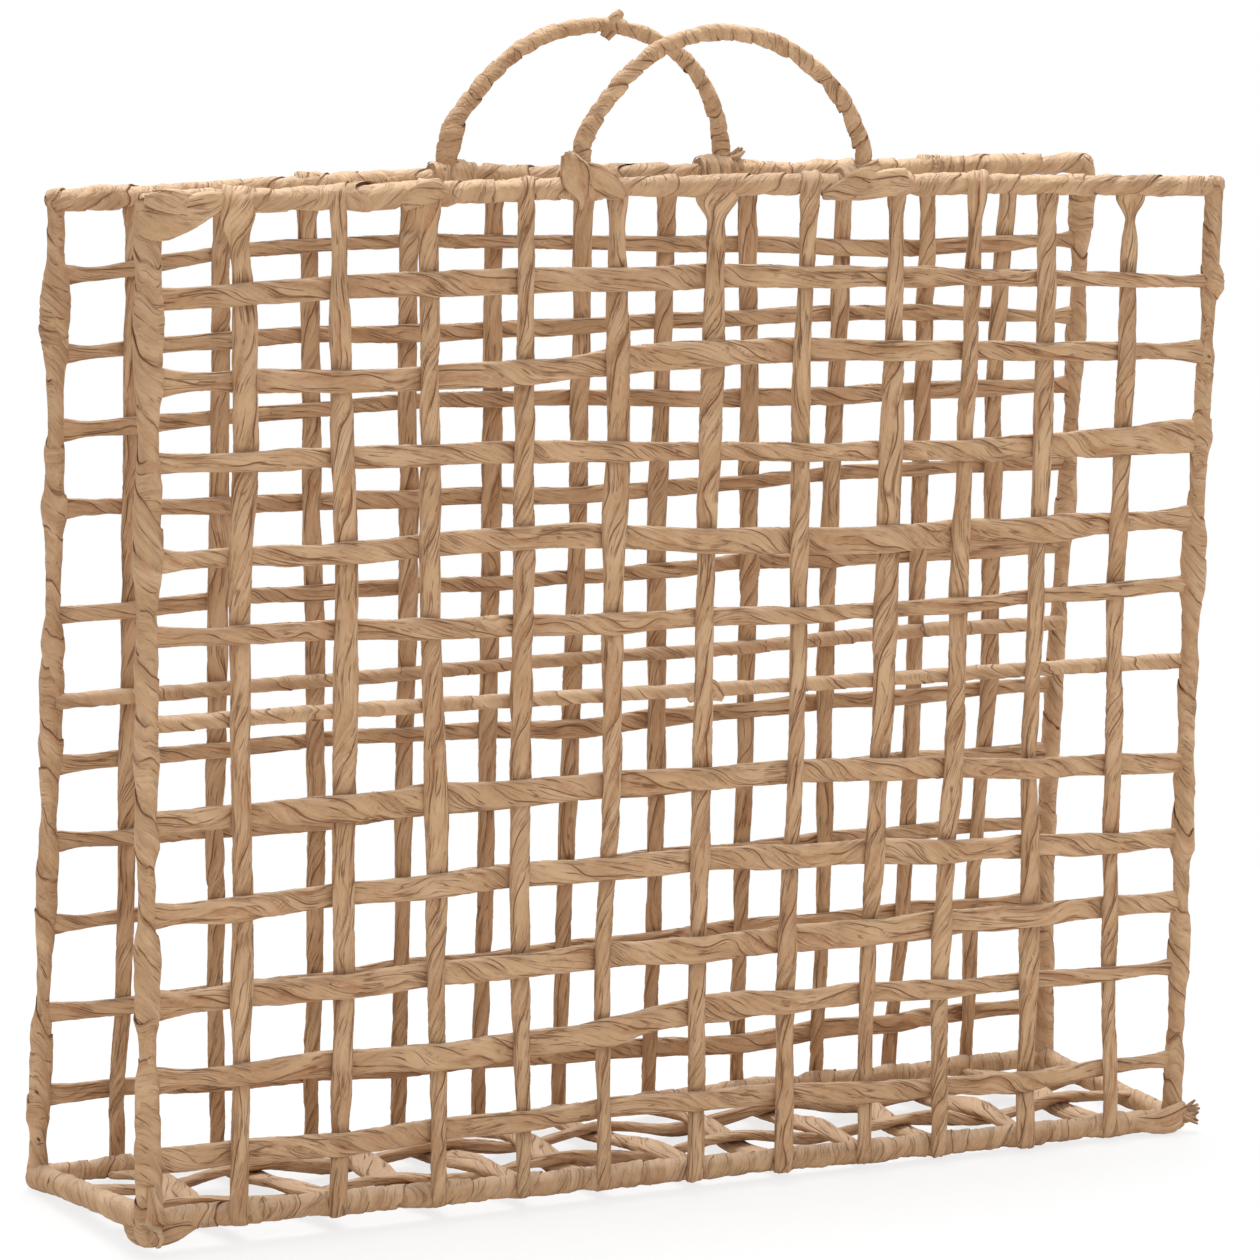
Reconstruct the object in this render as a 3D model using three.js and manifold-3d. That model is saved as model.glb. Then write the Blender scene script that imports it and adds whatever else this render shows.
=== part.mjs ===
// Magazine basket woven from twisted paper cord on a paper-wrapped wire frame.
// Two upright panels, front and back, share one woven floor, and both narrow ends are open.
// Millimetres, +Z up. X runs along the panels and Y from the front panel to the back one.
// The ground is z = 0, and the origin is under the middle of the basket.

import * as THREE from 'three';
import Module from 'manifold-3d';

const wasm = await Module();
wasm.setup();

// Frame sizes, all between the centre lines of the wires
const panelWidth = 392;
const panelHeight = 330;
const basketDepth = 86;

// Wires, with the paper that is wound on them
const frameWireDiameter = 2.8;
const frameWrapDiameter = 8;
const barWireDiameter = 1.8;
const barWrapDiameter = 4;
const handleWireDiameter = 3;
const handleWrapDiameter = 7.2;

// Flattened paper cord
const cordWidth = 7;
const cordFlatWidth = 4.4;
const cordThickness = 2.6;

// Clearances
const seatGap = 0.3;
const groundGap = 1.4;

// Wrapped feet at the four bottom corners
const footDiameter = 11;
const footSoleDiameter = 6.8;
const footHeight = 16;
const footBellyHeight = 5;
const postCapHeight = 2.4;
const postCapDiameter = 4.8;

// Handles, half an ellipse each, and the windings that tie them to the top rails
const handleSpan = 105;
const handleRise = 48.5;
const handleFootLength = 6;
const handleLegLength = 2;
const lashingLength = 14.5;
const lashingStrandDiameter = 1.8;

// Floor
const floorCordSpacing = 30;
const floorDrop = 2;

// Numbers of sides and steps
const roundSides = 8;
const handleSteps = 16;
const strandSides = 6;
const lashingTurnsCount = 4;
const lashingTurnSteps = 24;

// The hoops lean a little, as bent and wrapped by hand. Each corner is a share of the panel
// width from the middle, and a share of the panel height from the bottom rails.
const frontCornerShares = {
  footLeft: [-0.498, 0.008],
  footRight: [0.500, -0.003],
  topLeft: [-0.501, 1.0],
  topRight: [0.501, 0.998],
};
const backCornerShares = {
  footLeft: [-0.506, -0.003],
  footRight: [0.496, 0.003],
  topLeft: [-0.497, 0.994],
  topRight: [0.506, 1.003],
};

// Where each upright cord stands at the top rail, at half height and at the bottom rail,
// as shares of the panel width from the middle
const frontColumnShares = [
  [-0.425, -0.419, -0.416],
  [-0.338, -0.327, -0.328],
  [-0.261, -0.248, -0.235],
  [-0.171, -0.167, -0.157],
  [-0.089, -0.083, -0.080],
  [0.005, 0.004, 0.007],
  [0.094, 0.095, 0.094],
  [0.178, 0.181, 0.175],
  [0.259, 0.254, 0.251],
  [0.330, 0.333, 0.341],
  [0.416, 0.418, 0.430],
];
const backColumnShares = [
  [-0.426, -0.428, -0.440],
  [-0.348, -0.350, -0.347],
  [-0.270, -0.259, -0.257],
  [-0.175, -0.171, -0.173],
  [-0.096, -0.092, -0.095],
  [-0.008, -0.009, -0.015],
  [0.074, 0.074, 0.077],
  [0.155, 0.166, 0.167],
  [0.254, 0.249, 0.252],
  [0.342, 0.343, 0.331],
  [0.427, 0.423, 0.415],
];

// How high each row cord lies at its left end, middle and right end, from the top row down,
// as shares of the panel height
const frontRowShares = [
  [0.902, 0.910, 0.895],
  [0.822, 0.835, 0.822],
  [0.745, 0.737, 0.732],
  [0.654, 0.647, 0.645],
  [0.581, 0.568, 0.574],
  [0.402, 0.405, 0.382],
  [0.310, 0.319, 0.300],
  [0.223, 0.228, 0.231],
  [0.148, 0.162, 0.159],
  [0.072, 0.074, 0.057],
];
const backRowShares = [
  [0.902, 0.924, 0.918],
  [0.825, 0.838, 0.834],
  [0.748, 0.763, 0.758],
  [0.670, 0.660, 0.673],
  [0.564, 0.573, 0.580],
  [0.412, 0.412, 0.424],
  [0.333, 0.340, 0.350],
  [0.248, 0.259, 0.268],
  [0.157, 0.173, 0.181],
  [0.073, 0.059, 0.058],
];
const rowsAboveBarCount = 5;
const frontBarShares = [0.495, 0.494, 0.491];
const backBarShares = [0.477, 0.488, 0.494];

// The middle of each handle, as a share of the panel width from the middle
const frontHandleShare = 0.0115;
const backHandleShare = -0.0055;

// Sizes that follow from the ones above
const frameWrapRadius = frameWrapDiameter / 2;
const roundFlatShare = Math.cos(Math.PI / roundSides);
const wrapFlat = frameWrapRadius * roundFlatShare;
const footFlat = (footDiameter / 2) * roundFlatShare;
const hookRadius = (wrapFlat + seatGap + cordThickness / 2) / roundFlatShare;
const hookReach = hookRadius * roundFlatShare + cordThickness / 2;
const railLow = hookReach + groundGap;
const columnPitch = tightestPitch([frontColumnShares, backColumnShares]) * panelWidth;
const rowPitch = tightestPitch([frontRowShares, backRowShares]) * panelHeight;
const slopeShare = 1 - cordFlatWidth / 2 / columnPitch - cordFlatWidth / 2 / rowPitch;
const weaveLift = (cordThickness + seatGap) / 2 / slopeShare;
const barInset = barWrapDiameter / 2 + seatGap + seatGap / 2 - weaveLift + cordThickness / 2;
const strandRadius = lashingStrandDiameter / 2;
const railBelt = frameWrapRadius + seatGap + strandRadius;
const footBelt = handleWireDiameter / 2 + seatGap + strandRadius;
const footLine = frameWrapRadius + seatGap + handleWireDiameter / 2;
const lashingTop = footLine + footBelt + strandRadius;
const legStep = handleWireDiameter + seatGap * 2;
const lashingPitch = (lashingLength - lashingStrandDiameter - legStep) / lashingTurnsCount;
const archStart = Math.asin((lashingTop + seatGap + handleLegLength) / handleRise);
const handleArm = Math.cos(archStart) * handleSpan / 2;

// The smallest step between two neighbours in tables of shares
function tightestPitch(tables) {
  let tightest = 1;
  for (const table of tables) {
    for (let i = 1; i < table.length; i++) {
      for (let k = 0; k < table[i].length; k++) {
        tightest = Math.min(tightest, Math.abs(table[i][k] - table[i - 1][k]));
      }
    }
  }
  return tightest;
}

const alongX = new THREE.Vector3(1, 0, 0);
const alongY = new THREE.Vector3(0, 1, 0);
const alongZ = new THREE.Vector3(0, 0, 1);

// One panel: the plane it stands in, which way is outwards, and its tables
const front = {
  name: 'front',
  y: -basketDepth / 2,
  outward: -1,
  corners: frontCornerShares,
  columns: frontColumnShares,
  rows: frontRowShares,
  bar: frontBarShares,
  handleMiddle: frontHandleShare * panelWidth,
};
const back = {
  name: 'back',
  y: basketDepth / 2,
  outward: 1,
  corners: backCornerShares,
  columns: backColumnShares,
  rows: backRowShares,
  bar: backBarShares,
  handleMiddle: backHandleShare * panelWidth,
};

function cornerPoint(panel, name) {
  const [across, up] = panel.corners[name];
  return new THREE.Vector3(across * panelWidth, panel.y, railLow + up * panelHeight);
}

// The height of a top or bottom rail at a place along X
function railHeight(panel, left, right, x) {
  const a = cornerPoint(panel, left);
  const b = cornerPoint(panel, right);
  return THREE.MathUtils.mapLinear(x, a.x, b.x, a.z, b.z);
}

// A post's place along X at a height
function postPlace(panel, foot, top, z) {
  const a = cornerPoint(panel, foot);
  const b = cornerPoint(panel, top);
  return THREE.MathUtils.mapLinear(z, a.z, b.z, a.x, b.x);
}

// Reads a row of three shares at a place from 0 to 1
function readShares(shares, place) {
  const middle = 0.5;
  const t = THREE.MathUtils.clamp(place, 0, 1);
  if (t < middle) return THREE.MathUtils.mapLinear(t, 0, middle, shares[0], shares[1]);
  return THREE.MathUtils.mapLinear(t, middle, 1, shares[1], shares[2]);
}

function columnPlace(panel, column, z) {
  return readShares(panel.columns[column], 1 - (z - railLow) / panelHeight) * panelWidth;
}

function rowHeight(shares, x) {
  return railLow + readShares(shares, (x + panelWidth / 2) / panelWidth) * panelHeight;
}

// Where an upright cord and a row cord cross
function crossing(panel, column, shares) {
  const z = rowHeight(shares, columnPlace(panel, column, rowHeight(shares, 0)));
  return new THREE.Vector3(columnPlace(panel, column, z), panel.y, z);
}

// Which of two crossing cords lies towards the front, -1 for the row cord and 1 for the other
function weaveSide(row, column) {
  return (row + column) % 2 === 0 ? -1 : 1;
}

// Joins rings of equally many points into one closed body, with flat ends unless it runs round
function loft(rings, runsRound = false) {
  const sides = rings[0].length;
  const last = rings.length - 1;
  const spans = runsRound ? rings.length : last;
  const faces = [];
  for (let i = 0; i < spans; i++) {
    const here = i * sides;
    const there = ((i + 1) % rings.length) * sides;
    for (let k = 0; k < sides; k++) {
      const next = (k + 1) % sides;
      faces.push(here + k, here + next, there + next);
      faces.push(here + k, there + next, there + k);
    }
  }
  if (!runsRound) {
    for (let k = 1; k < sides - 1; k++) {
      faces.push(0, k + 1, k);
      faces.push(last * sides, last * sides + k, last * sides + k + 1);
    }
  }
  const geometry = new THREE.BufferGeometry().setFromPoints(rings.flat());
  geometry.setIndex(faces);
  return geometry;
}

// Carries a flat outline along a route, mitred at each bend. The outline's first direction is
// always `across`, so the route bends only in the plane that is square to it.
function sweep(route, across, outline, runsRound = false) {
  const count = route.length;
  const rings = route.map((point, i) => {
    const isFirst = !runsRound && i === 0;
    const isLast = !runsRound && i === count - 1;
    const before = isFirst ? point : route[(i - 1 + count) % count];
    const after = isLast ? point : route[(i + 1) % count];
    const into = point.clone().sub(before).projectOnPlane(across).normalize();
    const out = after.clone().sub(point).projectOnPlane(across).normalize();
    if (isFirst) into.copy(out);
    if (isLast) out.copy(into);
    const along = into.clone().add(out).normalize();
    const stretch = 1 / along.dot(into);
    const side = along.clone().cross(across).normalize().multiplyScalar(stretch);
    return outline.map(([u, v]) => point.clone().addScaledVector(across, u).addScaledVector(side, v));
  });
  return loft(rings, runsRound);
}

// A regular outline with a flat on each axis
function roundOutline(diameter, sides = roundSides) {
  return Array.from({ length: sides }, (_, k) => {
    const angle = ((k + 0.5) / sides) * Math.PI * 2;
    return [Math.cos(angle) * diameter / 2, Math.sin(angle) * diameter / 2];
  });
}

// The flattened section of a paper cord
function cordOutline() {
  const edge = cordWidth / 2;
  const flat = cordFlatWidth / 2;
  const half = cordThickness / 2;
  return [[edge, 0], [flat, half], [-flat, half], [-edge, 0], [-flat, -half], [flat, -half]];
}

function toSolid(geometry) {
  const vertProperties = new Float32Array(geometry.attributes.position.array);
  const triVerts = new Uint32Array(geometry.index.array);
  return new wasm.Manifold(new wasm.Mesh({ numProp: 3, vertProperties, triVerts }));
}

function toGeometry(solid) {
  const mesh = solid.getMesh();
  const geometry = new THREE.BufferGeometry();
  geometry.setAttribute('position', new THREE.BufferAttribute(new Float32Array(mesh.vertProperties), 3));
  geometry.setIndex(new THREE.BufferAttribute(new Uint32Array(mesh.triVerts), 1));
  return geometry;
}

function cut(geometry, tools) {
  const solid = tools.reduce((rest, tool) => rest.subtract(toSolid(tool)), toSolid(geometry));
  return toGeometry(solid);
}

// The same route, with both ends drawn out
function drawnOut(route, length) {
  const stretched = route.map((point) => point.clone());
  const last = route.length - 1;
  const startWay = route[0].clone().sub(route[1]).normalize();
  const endWay = route[last].clone().sub(route[last - 1]).normalize();
  stretched[0].addScaledVector(startWay, length);
  stretched[last].addScaledVector(endWay, length);
  return stretched;
}

// Wires: each has its route, and the bore that it needs in the paper round it
function makeWire(route, across, diameter, runsRound = false) {
  const boreRoute = runsRound ? route : drawnOut(route, seatGap);
  return {
    body: sweep(route, across, roundOutline(diameter), runsRound),
    bore: sweep(boreRoute, across, roundOutline(diameter + seatGap * 2), runsRound),
  };
}

function hoopWire(panel) {
  const rise = new THREE.Vector3(0, 0, frameWireDiameter + seatGap);
  const route = [
    cornerPoint(panel, 'footLeft').add(rise),
    cornerPoint(panel, 'topLeft'),
    cornerPoint(panel, 'topRight'),
    cornerPoint(panel, 'footRight').add(rise),
  ];
  return makeWire(route, alongY, frameWireDiameter);
}

function baseRingWire() {
  const route = [
    cornerPoint(front, 'footLeft'),
    cornerPoint(front, 'footRight'),
    cornerPoint(back, 'footRight'),
    cornerPoint(back, 'footLeft'),
  ];
  return makeWire(route, alongZ, frameWireDiameter, true);
}

// The bar's line from post to post, drawn back from the post's centre line at both ends
function barRoute(panel, setback) {
  const leftZ = rowHeight(panel.bar, -panelWidth / 2);
  const rightZ = rowHeight(panel.bar, panelWidth / 2);
  const y = panel.y - panel.outward * barInset;
  const left = postPlace(panel, 'footLeft', 'topLeft', leftZ) + setback;
  const right = postPlace(panel, 'footRight', 'topRight', rightZ) - setback;
  return [new THREE.Vector3(left, y, leftZ), new THREE.Vector3(right, y, rightZ)];
}

function barWire(panel) {
  const setback = frameWireDiameter / 2 + seatGap;
  return makeWire(barRoute(panel, setback), alongZ, barWireDiameter);
}

// The place nearest to a wanted one on the top rail where a winding clears the upright cords
function clearOfCords(panel, wanted) {
  const room = lashingLength / 2 + seatGap + cordWidth / 2;
  const cords = panel.columns.map((_, column) => columnPlace(panel, column, railLow + panelHeight));
  let nearest = Infinity;
  for (let i = 1; i < cords.length; i++) {
    const place = THREE.MathUtils.clamp(wanted, cords[i - 1] + room, cords[i] - room);
    if (Math.abs(place - wanted) < Math.abs(nearest - wanted)) nearest = place;
  }
  return nearest;
}

// Where a handle's two legs stand, each between two upright cords
function handleFeet(panel) {
  return {
    left: clearOfCords(panel, panel.handleMiddle - handleArm),
    right: clearOfCords(panel, panel.handleMiddle + handleArm),
  };
}

// A handle's line: half an ellipse on two short upright legs, which start at one height above
// the rail
function handleRoute(panel, legStart) {
  const feet = handleFeet(panel);
  const middle = (feet.left + feet.right) / 2;
  const reach = (feet.right - feet.left) / 2 / Math.cos(archStart);
  const railZ = railHeight(panel, 'topLeft', 'topRight', middle);
  const arch = Array.from({ length: handleSteps + 1 }, (_, i) => {
    const angle = Math.PI - archStart - (i / handleSteps) * (Math.PI - archStart * 2);
    const x = middle + Math.cos(angle) * reach;
    return new THREE.Vector3(x, panel.y, railZ + Math.sin(angle) * handleRise);
  });
  const leftFoot = arch[0].clone().setZ(railZ + legStart);
  const rightFoot = arch[handleSteps].clone().setZ(railZ + legStart);
  return [leftFoot, ...arch, rightFoot];
}

function handleWire(panel) {
  const route = handleRoute(panel, footLine);
  const leftToe = route[0].clone().addScaledVector(alongX, handleFootLength);
  const rightToe = route[route.length - 1].clone().addScaledVector(alongX, -handleFootLength);
  return makeWire([leftToe, ...route, rightToe], alongY, handleWireDiameter);
}

// Paper wound on the posts: a foot, a plain length and a rounded top, in level rings
function postWrap(panel, foot, top, bores) {
  const topZ = cornerPoint(panel, top).z + frameWrapRadius;
  const stages = [
    [0, footSoleDiameter],
    [footBellyHeight / 2, footDiameter],
    [footBellyHeight + footBellyHeight / 2, footDiameter],
    [footHeight, frameWrapDiameter],
    [topZ - postCapHeight, frameWrapDiameter],
    [topZ, postCapDiameter],
  ];
  const rings = stages.map(([z, diameter]) => {
    const x = postPlace(panel, foot, top, z);
    return roundOutline(diameter).map(([u, v]) => new THREE.Vector3(x + u, panel.y + v, z));
  });
  return cut(loft(rings), bores);
}

// Paper wound on a straight rail, drawn back from the posts' centre lines at both ends
function railSolid(start, end, across, setback) {
  const way = end.clone().sub(start).normalize();
  const route = [start.clone().addScaledVector(way, setback), end.clone().addScaledVector(way, -setback)];
  return sweep(route, across, roundOutline(frameWrapDiameter));
}

// The stations of a winding: one strand goes taut round the top rail and the toe of a handle,
// steps past the leg under the rail, and ends round the rail alone. `inward` is the way the toe
// points, 1 or -1 along X.
function lashingStations(panel, x, inward) {
  const railZ = railHeight(panel, 'topLeft', 'topRight', x);
  const middleTurn = lashingTurnsCount / 2;
  const quarterTurn = 1 / 4;
  const steps = lashingTurnsCount * lashingTurnSteps;
  return Array.from({ length: steps + 1 }, (_, i) => {
    const turn = i / lashingTurnSteps;
    const angle = (turn - quarterTurn) * Math.PI * 2;
    const past = THREE.MathUtils.smoothstep(turn, middleTurn - quarterTurn, middleTurn + quarterTurn);
    const along = (lashingLength - lashingStrandDiameter) / 2 - turn * lashingPitch - past * legStep;
    const toeLine = THREE.MathUtils.lerp(footLine, railBelt - footBelt, past);
    const isOverToe = toeLine * Math.sin(angle) + footBelt > railBelt;
    const belt = isOverToe ? footBelt : railBelt;
    const outwards = new THREE.Vector3(0, Math.cos(angle), Math.sin(angle));
    const centre = new THREE.Vector3(x + inward * along, panel.y, railZ + (isOverToe ? toeLine : 0));
    return { point: centre.addScaledVector(outwards, belt), outwards };
  });
}

// The least gap between the turns of a winding, from point to point of its line
function leastGap(stations) {
  const halfTurnSteps = lashingTurnSteps / 2;
  let least = Infinity;
  for (let i = 0; i < stations.length; i++) {
    for (let k = i + halfTurnSteps; k < stations.length; k++) {
      least = Math.min(least, stations[i].point.distanceTo(stations[k].point));
    }
  }
  return least - lashingStrandDiameter;
}

function lashing(panel, x, inward) {
  const stations = lashingStations(panel, x, inward);
  console.log(`${panel.name} winding at ${x.toFixed(1)}: least gap ${leastGap(stations).toFixed(2)} mm`);
  const outline = roundOutline(lashingStrandDiameter, strandSides);
  const rings = stations.map(({ point, outwards }) => (
    outline.map(([u, v]) => point.clone().addScaledVector(alongX, u).addScaledVector(outwards, v))
  ));
  return loft(rings);
}

// An upright cord: over the front top rail, down the front, across the floor and up the back
function uprightRoute(column) {
  const down = panelRoute(front, column);
  const up = panelRoute(back, column).reverse();
  return [...down, ...floorRoute(column), ...up];
}

function panelRoute(panel, column) {
  const topX = columnPlace(panel, column, railLow + panelHeight);
  const topZ = railHeight(panel, 'topLeft', 'topRight', topX);
  const footX = columnPlace(panel, column, railLow);
  const footZ = railHeight(panel, 'footLeft', 'footRight', footX);
  const route = hook(panel, topX, topZ, 1);
  const lastRow = panel.rows.length - 1;
  panel.rows.forEach((shares, row) => {
    if (row === rowsAboveBarCount) {
      const behind = crossing(panel, column, panel.bar);
      behind.y += panel.outward * weaveLift;
      route.push(behind);
    }
    const point = crossing(panel, column, shares);
    point.y -= weaveSide(row, column) * weaveLift;
    if (row === 0) route.push(point.clone().addScaledVector(alongZ, cordWidth / 2));
    route.push(point);
    if (row === lastRow) route.push(point.clone().addScaledVector(alongZ, -cordWidth / 2));
  });
  return [...route, ...hook(panel, footX, footZ, -1).reverse().slice(0, -1)];
}

// Points round a rail from its inner side over the top or under the bottom to its outer side
function hook(panel, x, z, way) {
  const turns = 5;
  return Array.from({ length: turns }, (_, i) => {
    const angle = ((turns - i - 1.5) / roundSides) * Math.PI * 2;
    const y = panel.y + panel.outward * Math.cos(angle) * hookRadius;
    return new THREE.Vector3(x, y, z + way * Math.sin(angle) * hookRadius);
  });
}

function floorHeight(x, y) {
  const frontZ = railHeight(front, 'footLeft', 'footRight', x);
  const backZ = railHeight(back, 'footLeft', 'footRight', x);
  return THREE.MathUtils.mapLinear(y, front.y, back.y, frontZ, backZ) - floorDrop;
}

const floorLines = [-floorCordSpacing / 2, floorCordSpacing / 2];

function floorPlace(column, y) {
  const frontX = columnPlace(front, column, railLow);
  const backX = columnPlace(back, column, railLow);
  return THREE.MathUtils.mapLinear(y, front.y, back.y, frontX, backX);
}

function floorRoute(column) {
  return floorLines.map((y, line) => {
    const x = floorPlace(column, y);
    return new THREE.Vector3(x, y, floorHeight(x, y) + weaveSide(line, column) * weaveLift);
  });
}

// A row cord from post to post, in front of one upright cord and behind the next
function rowRoute(panel, row) {
  const shares = panel.rows[row];
  const setback = wrapFlat + seatGap;
  const leftZ = rowHeight(shares, -panelWidth / 2);
  const rightZ = rowHeight(shares, panelWidth / 2);
  const left = postPlace(panel, 'footLeft', 'topLeft', leftZ) + setback;
  const right = postPlace(panel, 'footRight', 'topRight', rightZ) - setback;
  const route = [new THREE.Vector3(left, panel.y, leftZ)];
  panel.columns.forEach((_, column) => {
    const point = crossing(panel, column, shares);
    point.y += weaveSide(row, column) * weaveLift;
    route.push(point);
  });
  route.push(new THREE.Vector3(right, panel.y, rightZ));
  return route;
}

// A floor cord from side rail to side rail, over one upright cord and under the next
function floorCordRoute(line) {
  const y = floorLines[line];
  const share = (y - front.y) / basketDepth;
  const setback = wrapFlat + seatGap;
  const left = cornerPoint(front, 'footLeft').lerp(cornerPoint(back, 'footLeft'), share);
  const right = cornerPoint(front, 'footRight').lerp(cornerPoint(back, 'footRight'), share);
  left.x += setback;
  right.x -= setback;
  const route = [left];
  front.columns.forEach((_, column) => {
    const x = floorPlace(column, y);
    route.push(new THREE.Vector3(x, y, floorHeight(x, y) - weaveSide(line, column) * weaveLift));
  });
  route.push(right);
  return route;
}

// Materials
function paper(color) {
  return new THREE.MeshStandardMaterial({ color, roughness: 0.85, metalness: 0 });
}
const uprightPaper = paper(0xb98f68);
const rowPaper = paper(0xb58860);
const wrapPaper = paper(0xbf9770);
const steel = new THREE.MeshStandardMaterial({ color: 0x77797c, roughness: 0.4, metalness: 1 });

const basket = new THREE.Group();

function addPiece(name, geometry, material) {
  const flat = geometry.toNonIndexed();
  flat.computeVertexNormals();
  const mesh = new THREE.Mesh(flat, material);
  mesh.name = name;
  basket.add(mesh);
}

function numbered(name, index) {
  return `${name}_${String(index + 1).padStart(2, '0')}`;
}

// Wire frame
const ring = baseRingWire();
addPiece('base_ring_wire', ring.body, steel);

for (const panel of [front, back]) {
  const hoop = hoopWire(panel);
  const bar = barWire(panel);
  const handle = handleWire(panel);
  addPiece(`${panel.name}_hoop_wire`, hoop.body, steel);
  addPiece(`${panel.name}_bar_wire`, bar.body, steel);
  addPiece(`${panel.name}_handle_wire`, handle.body, steel);

  // Paper on the posts and rails
  const postBores = [hoop.bore, bar.bore, ring.bore];
  const leftPost = postWrap(panel, 'footLeft', 'topLeft', postBores);
  const rightPost = postWrap(panel, 'footRight', 'topRight', postBores);
  addPiece(`${panel.name}_left_post_wrap`, leftPost, wrapPaper);
  addPiece(`${panel.name}_right_post_wrap`, rightPost, wrapPaper);

  const topEnds = [cornerPoint(panel, 'topLeft'), cornerPoint(panel, 'topRight')];
  const footEnds = [cornerPoint(panel, 'footLeft'), cornerPoint(panel, 'footRight')];
  const topRail = railSolid(...topEnds, alongY, wrapFlat + seatGap);
  const bottomRail = railSolid(...footEnds, alongY, footFlat + seatGap);
  addPiece(`${panel.name}_top_rail_wrap`, cut(topRail, [hoop.bore]), wrapPaper);
  addPiece(`${panel.name}_bottom_rail_wrap`, cut(bottomRail, [ring.bore]), wrapPaper);

  // Paper on the bar at half height
  const barSolid = sweep(barRoute(panel, frameWrapRadius + seatGap), alongZ, roundOutline(barWrapDiameter));
  addPiece(`${panel.name}_bar_wrap`, cut(barSolid, [bar.bore]), rowPaper);

  // Handle, and the windings round its feet
  const arch = sweep(handleRoute(panel, lashingTop + seatGap), alongY, roundOutline(handleWrapDiameter));
  addPiece(`${panel.name}_handle_wrap`, cut(arch, [handle.bore]), wrapPaper);
  const feet = handleFeet(panel);
  addPiece(`${panel.name}_handle_left_lashing`, lashing(panel, feet.left, 1), wrapPaper);
  addPiece(`${panel.name}_handle_right_lashing`, lashing(panel, feet.right, -1), wrapPaper);

  // Row cords, from the top down
  panel.rows.forEach((_, row) => {
    const body = sweep(rowRoute(panel, row), alongZ, cordOutline());
    addPiece(numbered(`${panel.name}_row_cord`, row), body, rowPaper);
  });
}

// Paper on the short side rails
for (const side of ['Left', 'Right']) {
  const ends = [cornerPoint(front, `foot${side}`), cornerPoint(back, `foot${side}`)];
  const rail = railSolid(...ends, alongX, footFlat + seatGap);
  addPiece(`${side.toLowerCase()}_side_rail_wrap`, cut(rail, [ring.bore]), wrapPaper);
}

// Upright cords, each one length from the front top rail to the back one
front.columns.forEach((_, column) => {
  const body = sweep(uprightRoute(column), alongX, cordOutline());
  addPiece(numbered('upright_cord', column), body, uprightPaper);
});

// Floor cords
floorLines.forEach((_, line) => {
  const body = sweep(floorCordRoute(line), alongY, cordOutline());
  addPiece(numbered('floor_cord', line), body, rowPaper);
});

// The hoops lean unevenly, so the whole basket is moved to stand over the origin
const extent = new THREE.Box3().setFromObject(basket);
basket.position.x = -(extent.min.x + extent.max.x) / 2;
basket.position.y = -(extent.min.y + extent.max.y) / 2;
basket.updateMatrixWorld(true);

export default basket;
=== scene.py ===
# %% [markdown]
# # A magazine basket woven from paper cord
# The basket is a wire frame wound with strips of twisted kraft paper, woven over with flattened
# paper cord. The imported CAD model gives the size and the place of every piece. This script builds
# each piece again, in the same place, with the folds, laps and creases that the real paper has.

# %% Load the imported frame
import math

import bpy
import numpy as np
from mathutils import Euler, Matrix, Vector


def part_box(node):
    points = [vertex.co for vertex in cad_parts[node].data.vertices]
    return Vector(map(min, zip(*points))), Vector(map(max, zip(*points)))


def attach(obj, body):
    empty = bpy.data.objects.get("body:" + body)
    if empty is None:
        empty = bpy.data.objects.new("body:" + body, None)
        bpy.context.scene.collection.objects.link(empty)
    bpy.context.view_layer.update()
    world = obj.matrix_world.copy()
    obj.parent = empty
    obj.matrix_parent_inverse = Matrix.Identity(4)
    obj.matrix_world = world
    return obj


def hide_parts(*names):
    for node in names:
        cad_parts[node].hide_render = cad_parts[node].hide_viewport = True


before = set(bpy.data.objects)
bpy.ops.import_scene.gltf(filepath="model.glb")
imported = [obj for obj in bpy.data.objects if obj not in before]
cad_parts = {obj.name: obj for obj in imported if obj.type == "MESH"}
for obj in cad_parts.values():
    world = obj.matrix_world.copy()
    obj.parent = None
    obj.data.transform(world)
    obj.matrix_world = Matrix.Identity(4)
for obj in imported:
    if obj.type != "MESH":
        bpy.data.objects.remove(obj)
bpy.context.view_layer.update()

MM = 0.001
bpy.ops.object.select_all(action="DESELECT")

# %% [markdown]
# ## The camera
# The camera stands where the photographer stood: to the left of the basket and a little above its
# rails, far off and with a long lens. It comes first, so every piece can be judged from there.

# %% Camera
CAMERA_PLACE = (-0.7323, -1.3980, 0.4373)
CAMERA_YAW = math.radians(27.541)
CAMERA_PITCH = math.radians(9.085)
CAMERA_ROLL = math.radians(1.267)
level_view = Euler((math.pi / 2 - CAMERA_PITCH, 0, -CAMERA_YAW)).to_matrix()
bpy.ops.object.camera_add(location=CAMERA_PLACE)
camera = bpy.context.object
camera.rotation_euler = (level_view @ Matrix.Rotation(CAMERA_ROLL, 3, "Z")).to_euler()
camera.data.sensor_width = 36
camera.data.lens = 134.61
bpy.context.scene.camera = camera
bpy.context.scene.view_settings.view_transform = "Standard"
print("camera at", tuple(camera.location))

# %% [markdown]
# ## Small helpers for shader nodes
# A paper finish takes many nodes. `add` makes one node, sets its inputs and links what it is given,
# so that each finish below reads as a short list of layers.

# %% Node helpers
def srgb(red, green, blue):
    """A colour as a picture program names it, 0 to 255, turned into Blender's linear values."""
    shares = [value / 255 for value in (red, green, blue)]
    linear = [s / 12.92 if s <= 0.04045 else ((s + 0.055) / 1.055) ** 2.4 for s in shares]
    return (*linear, 1.0)


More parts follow.
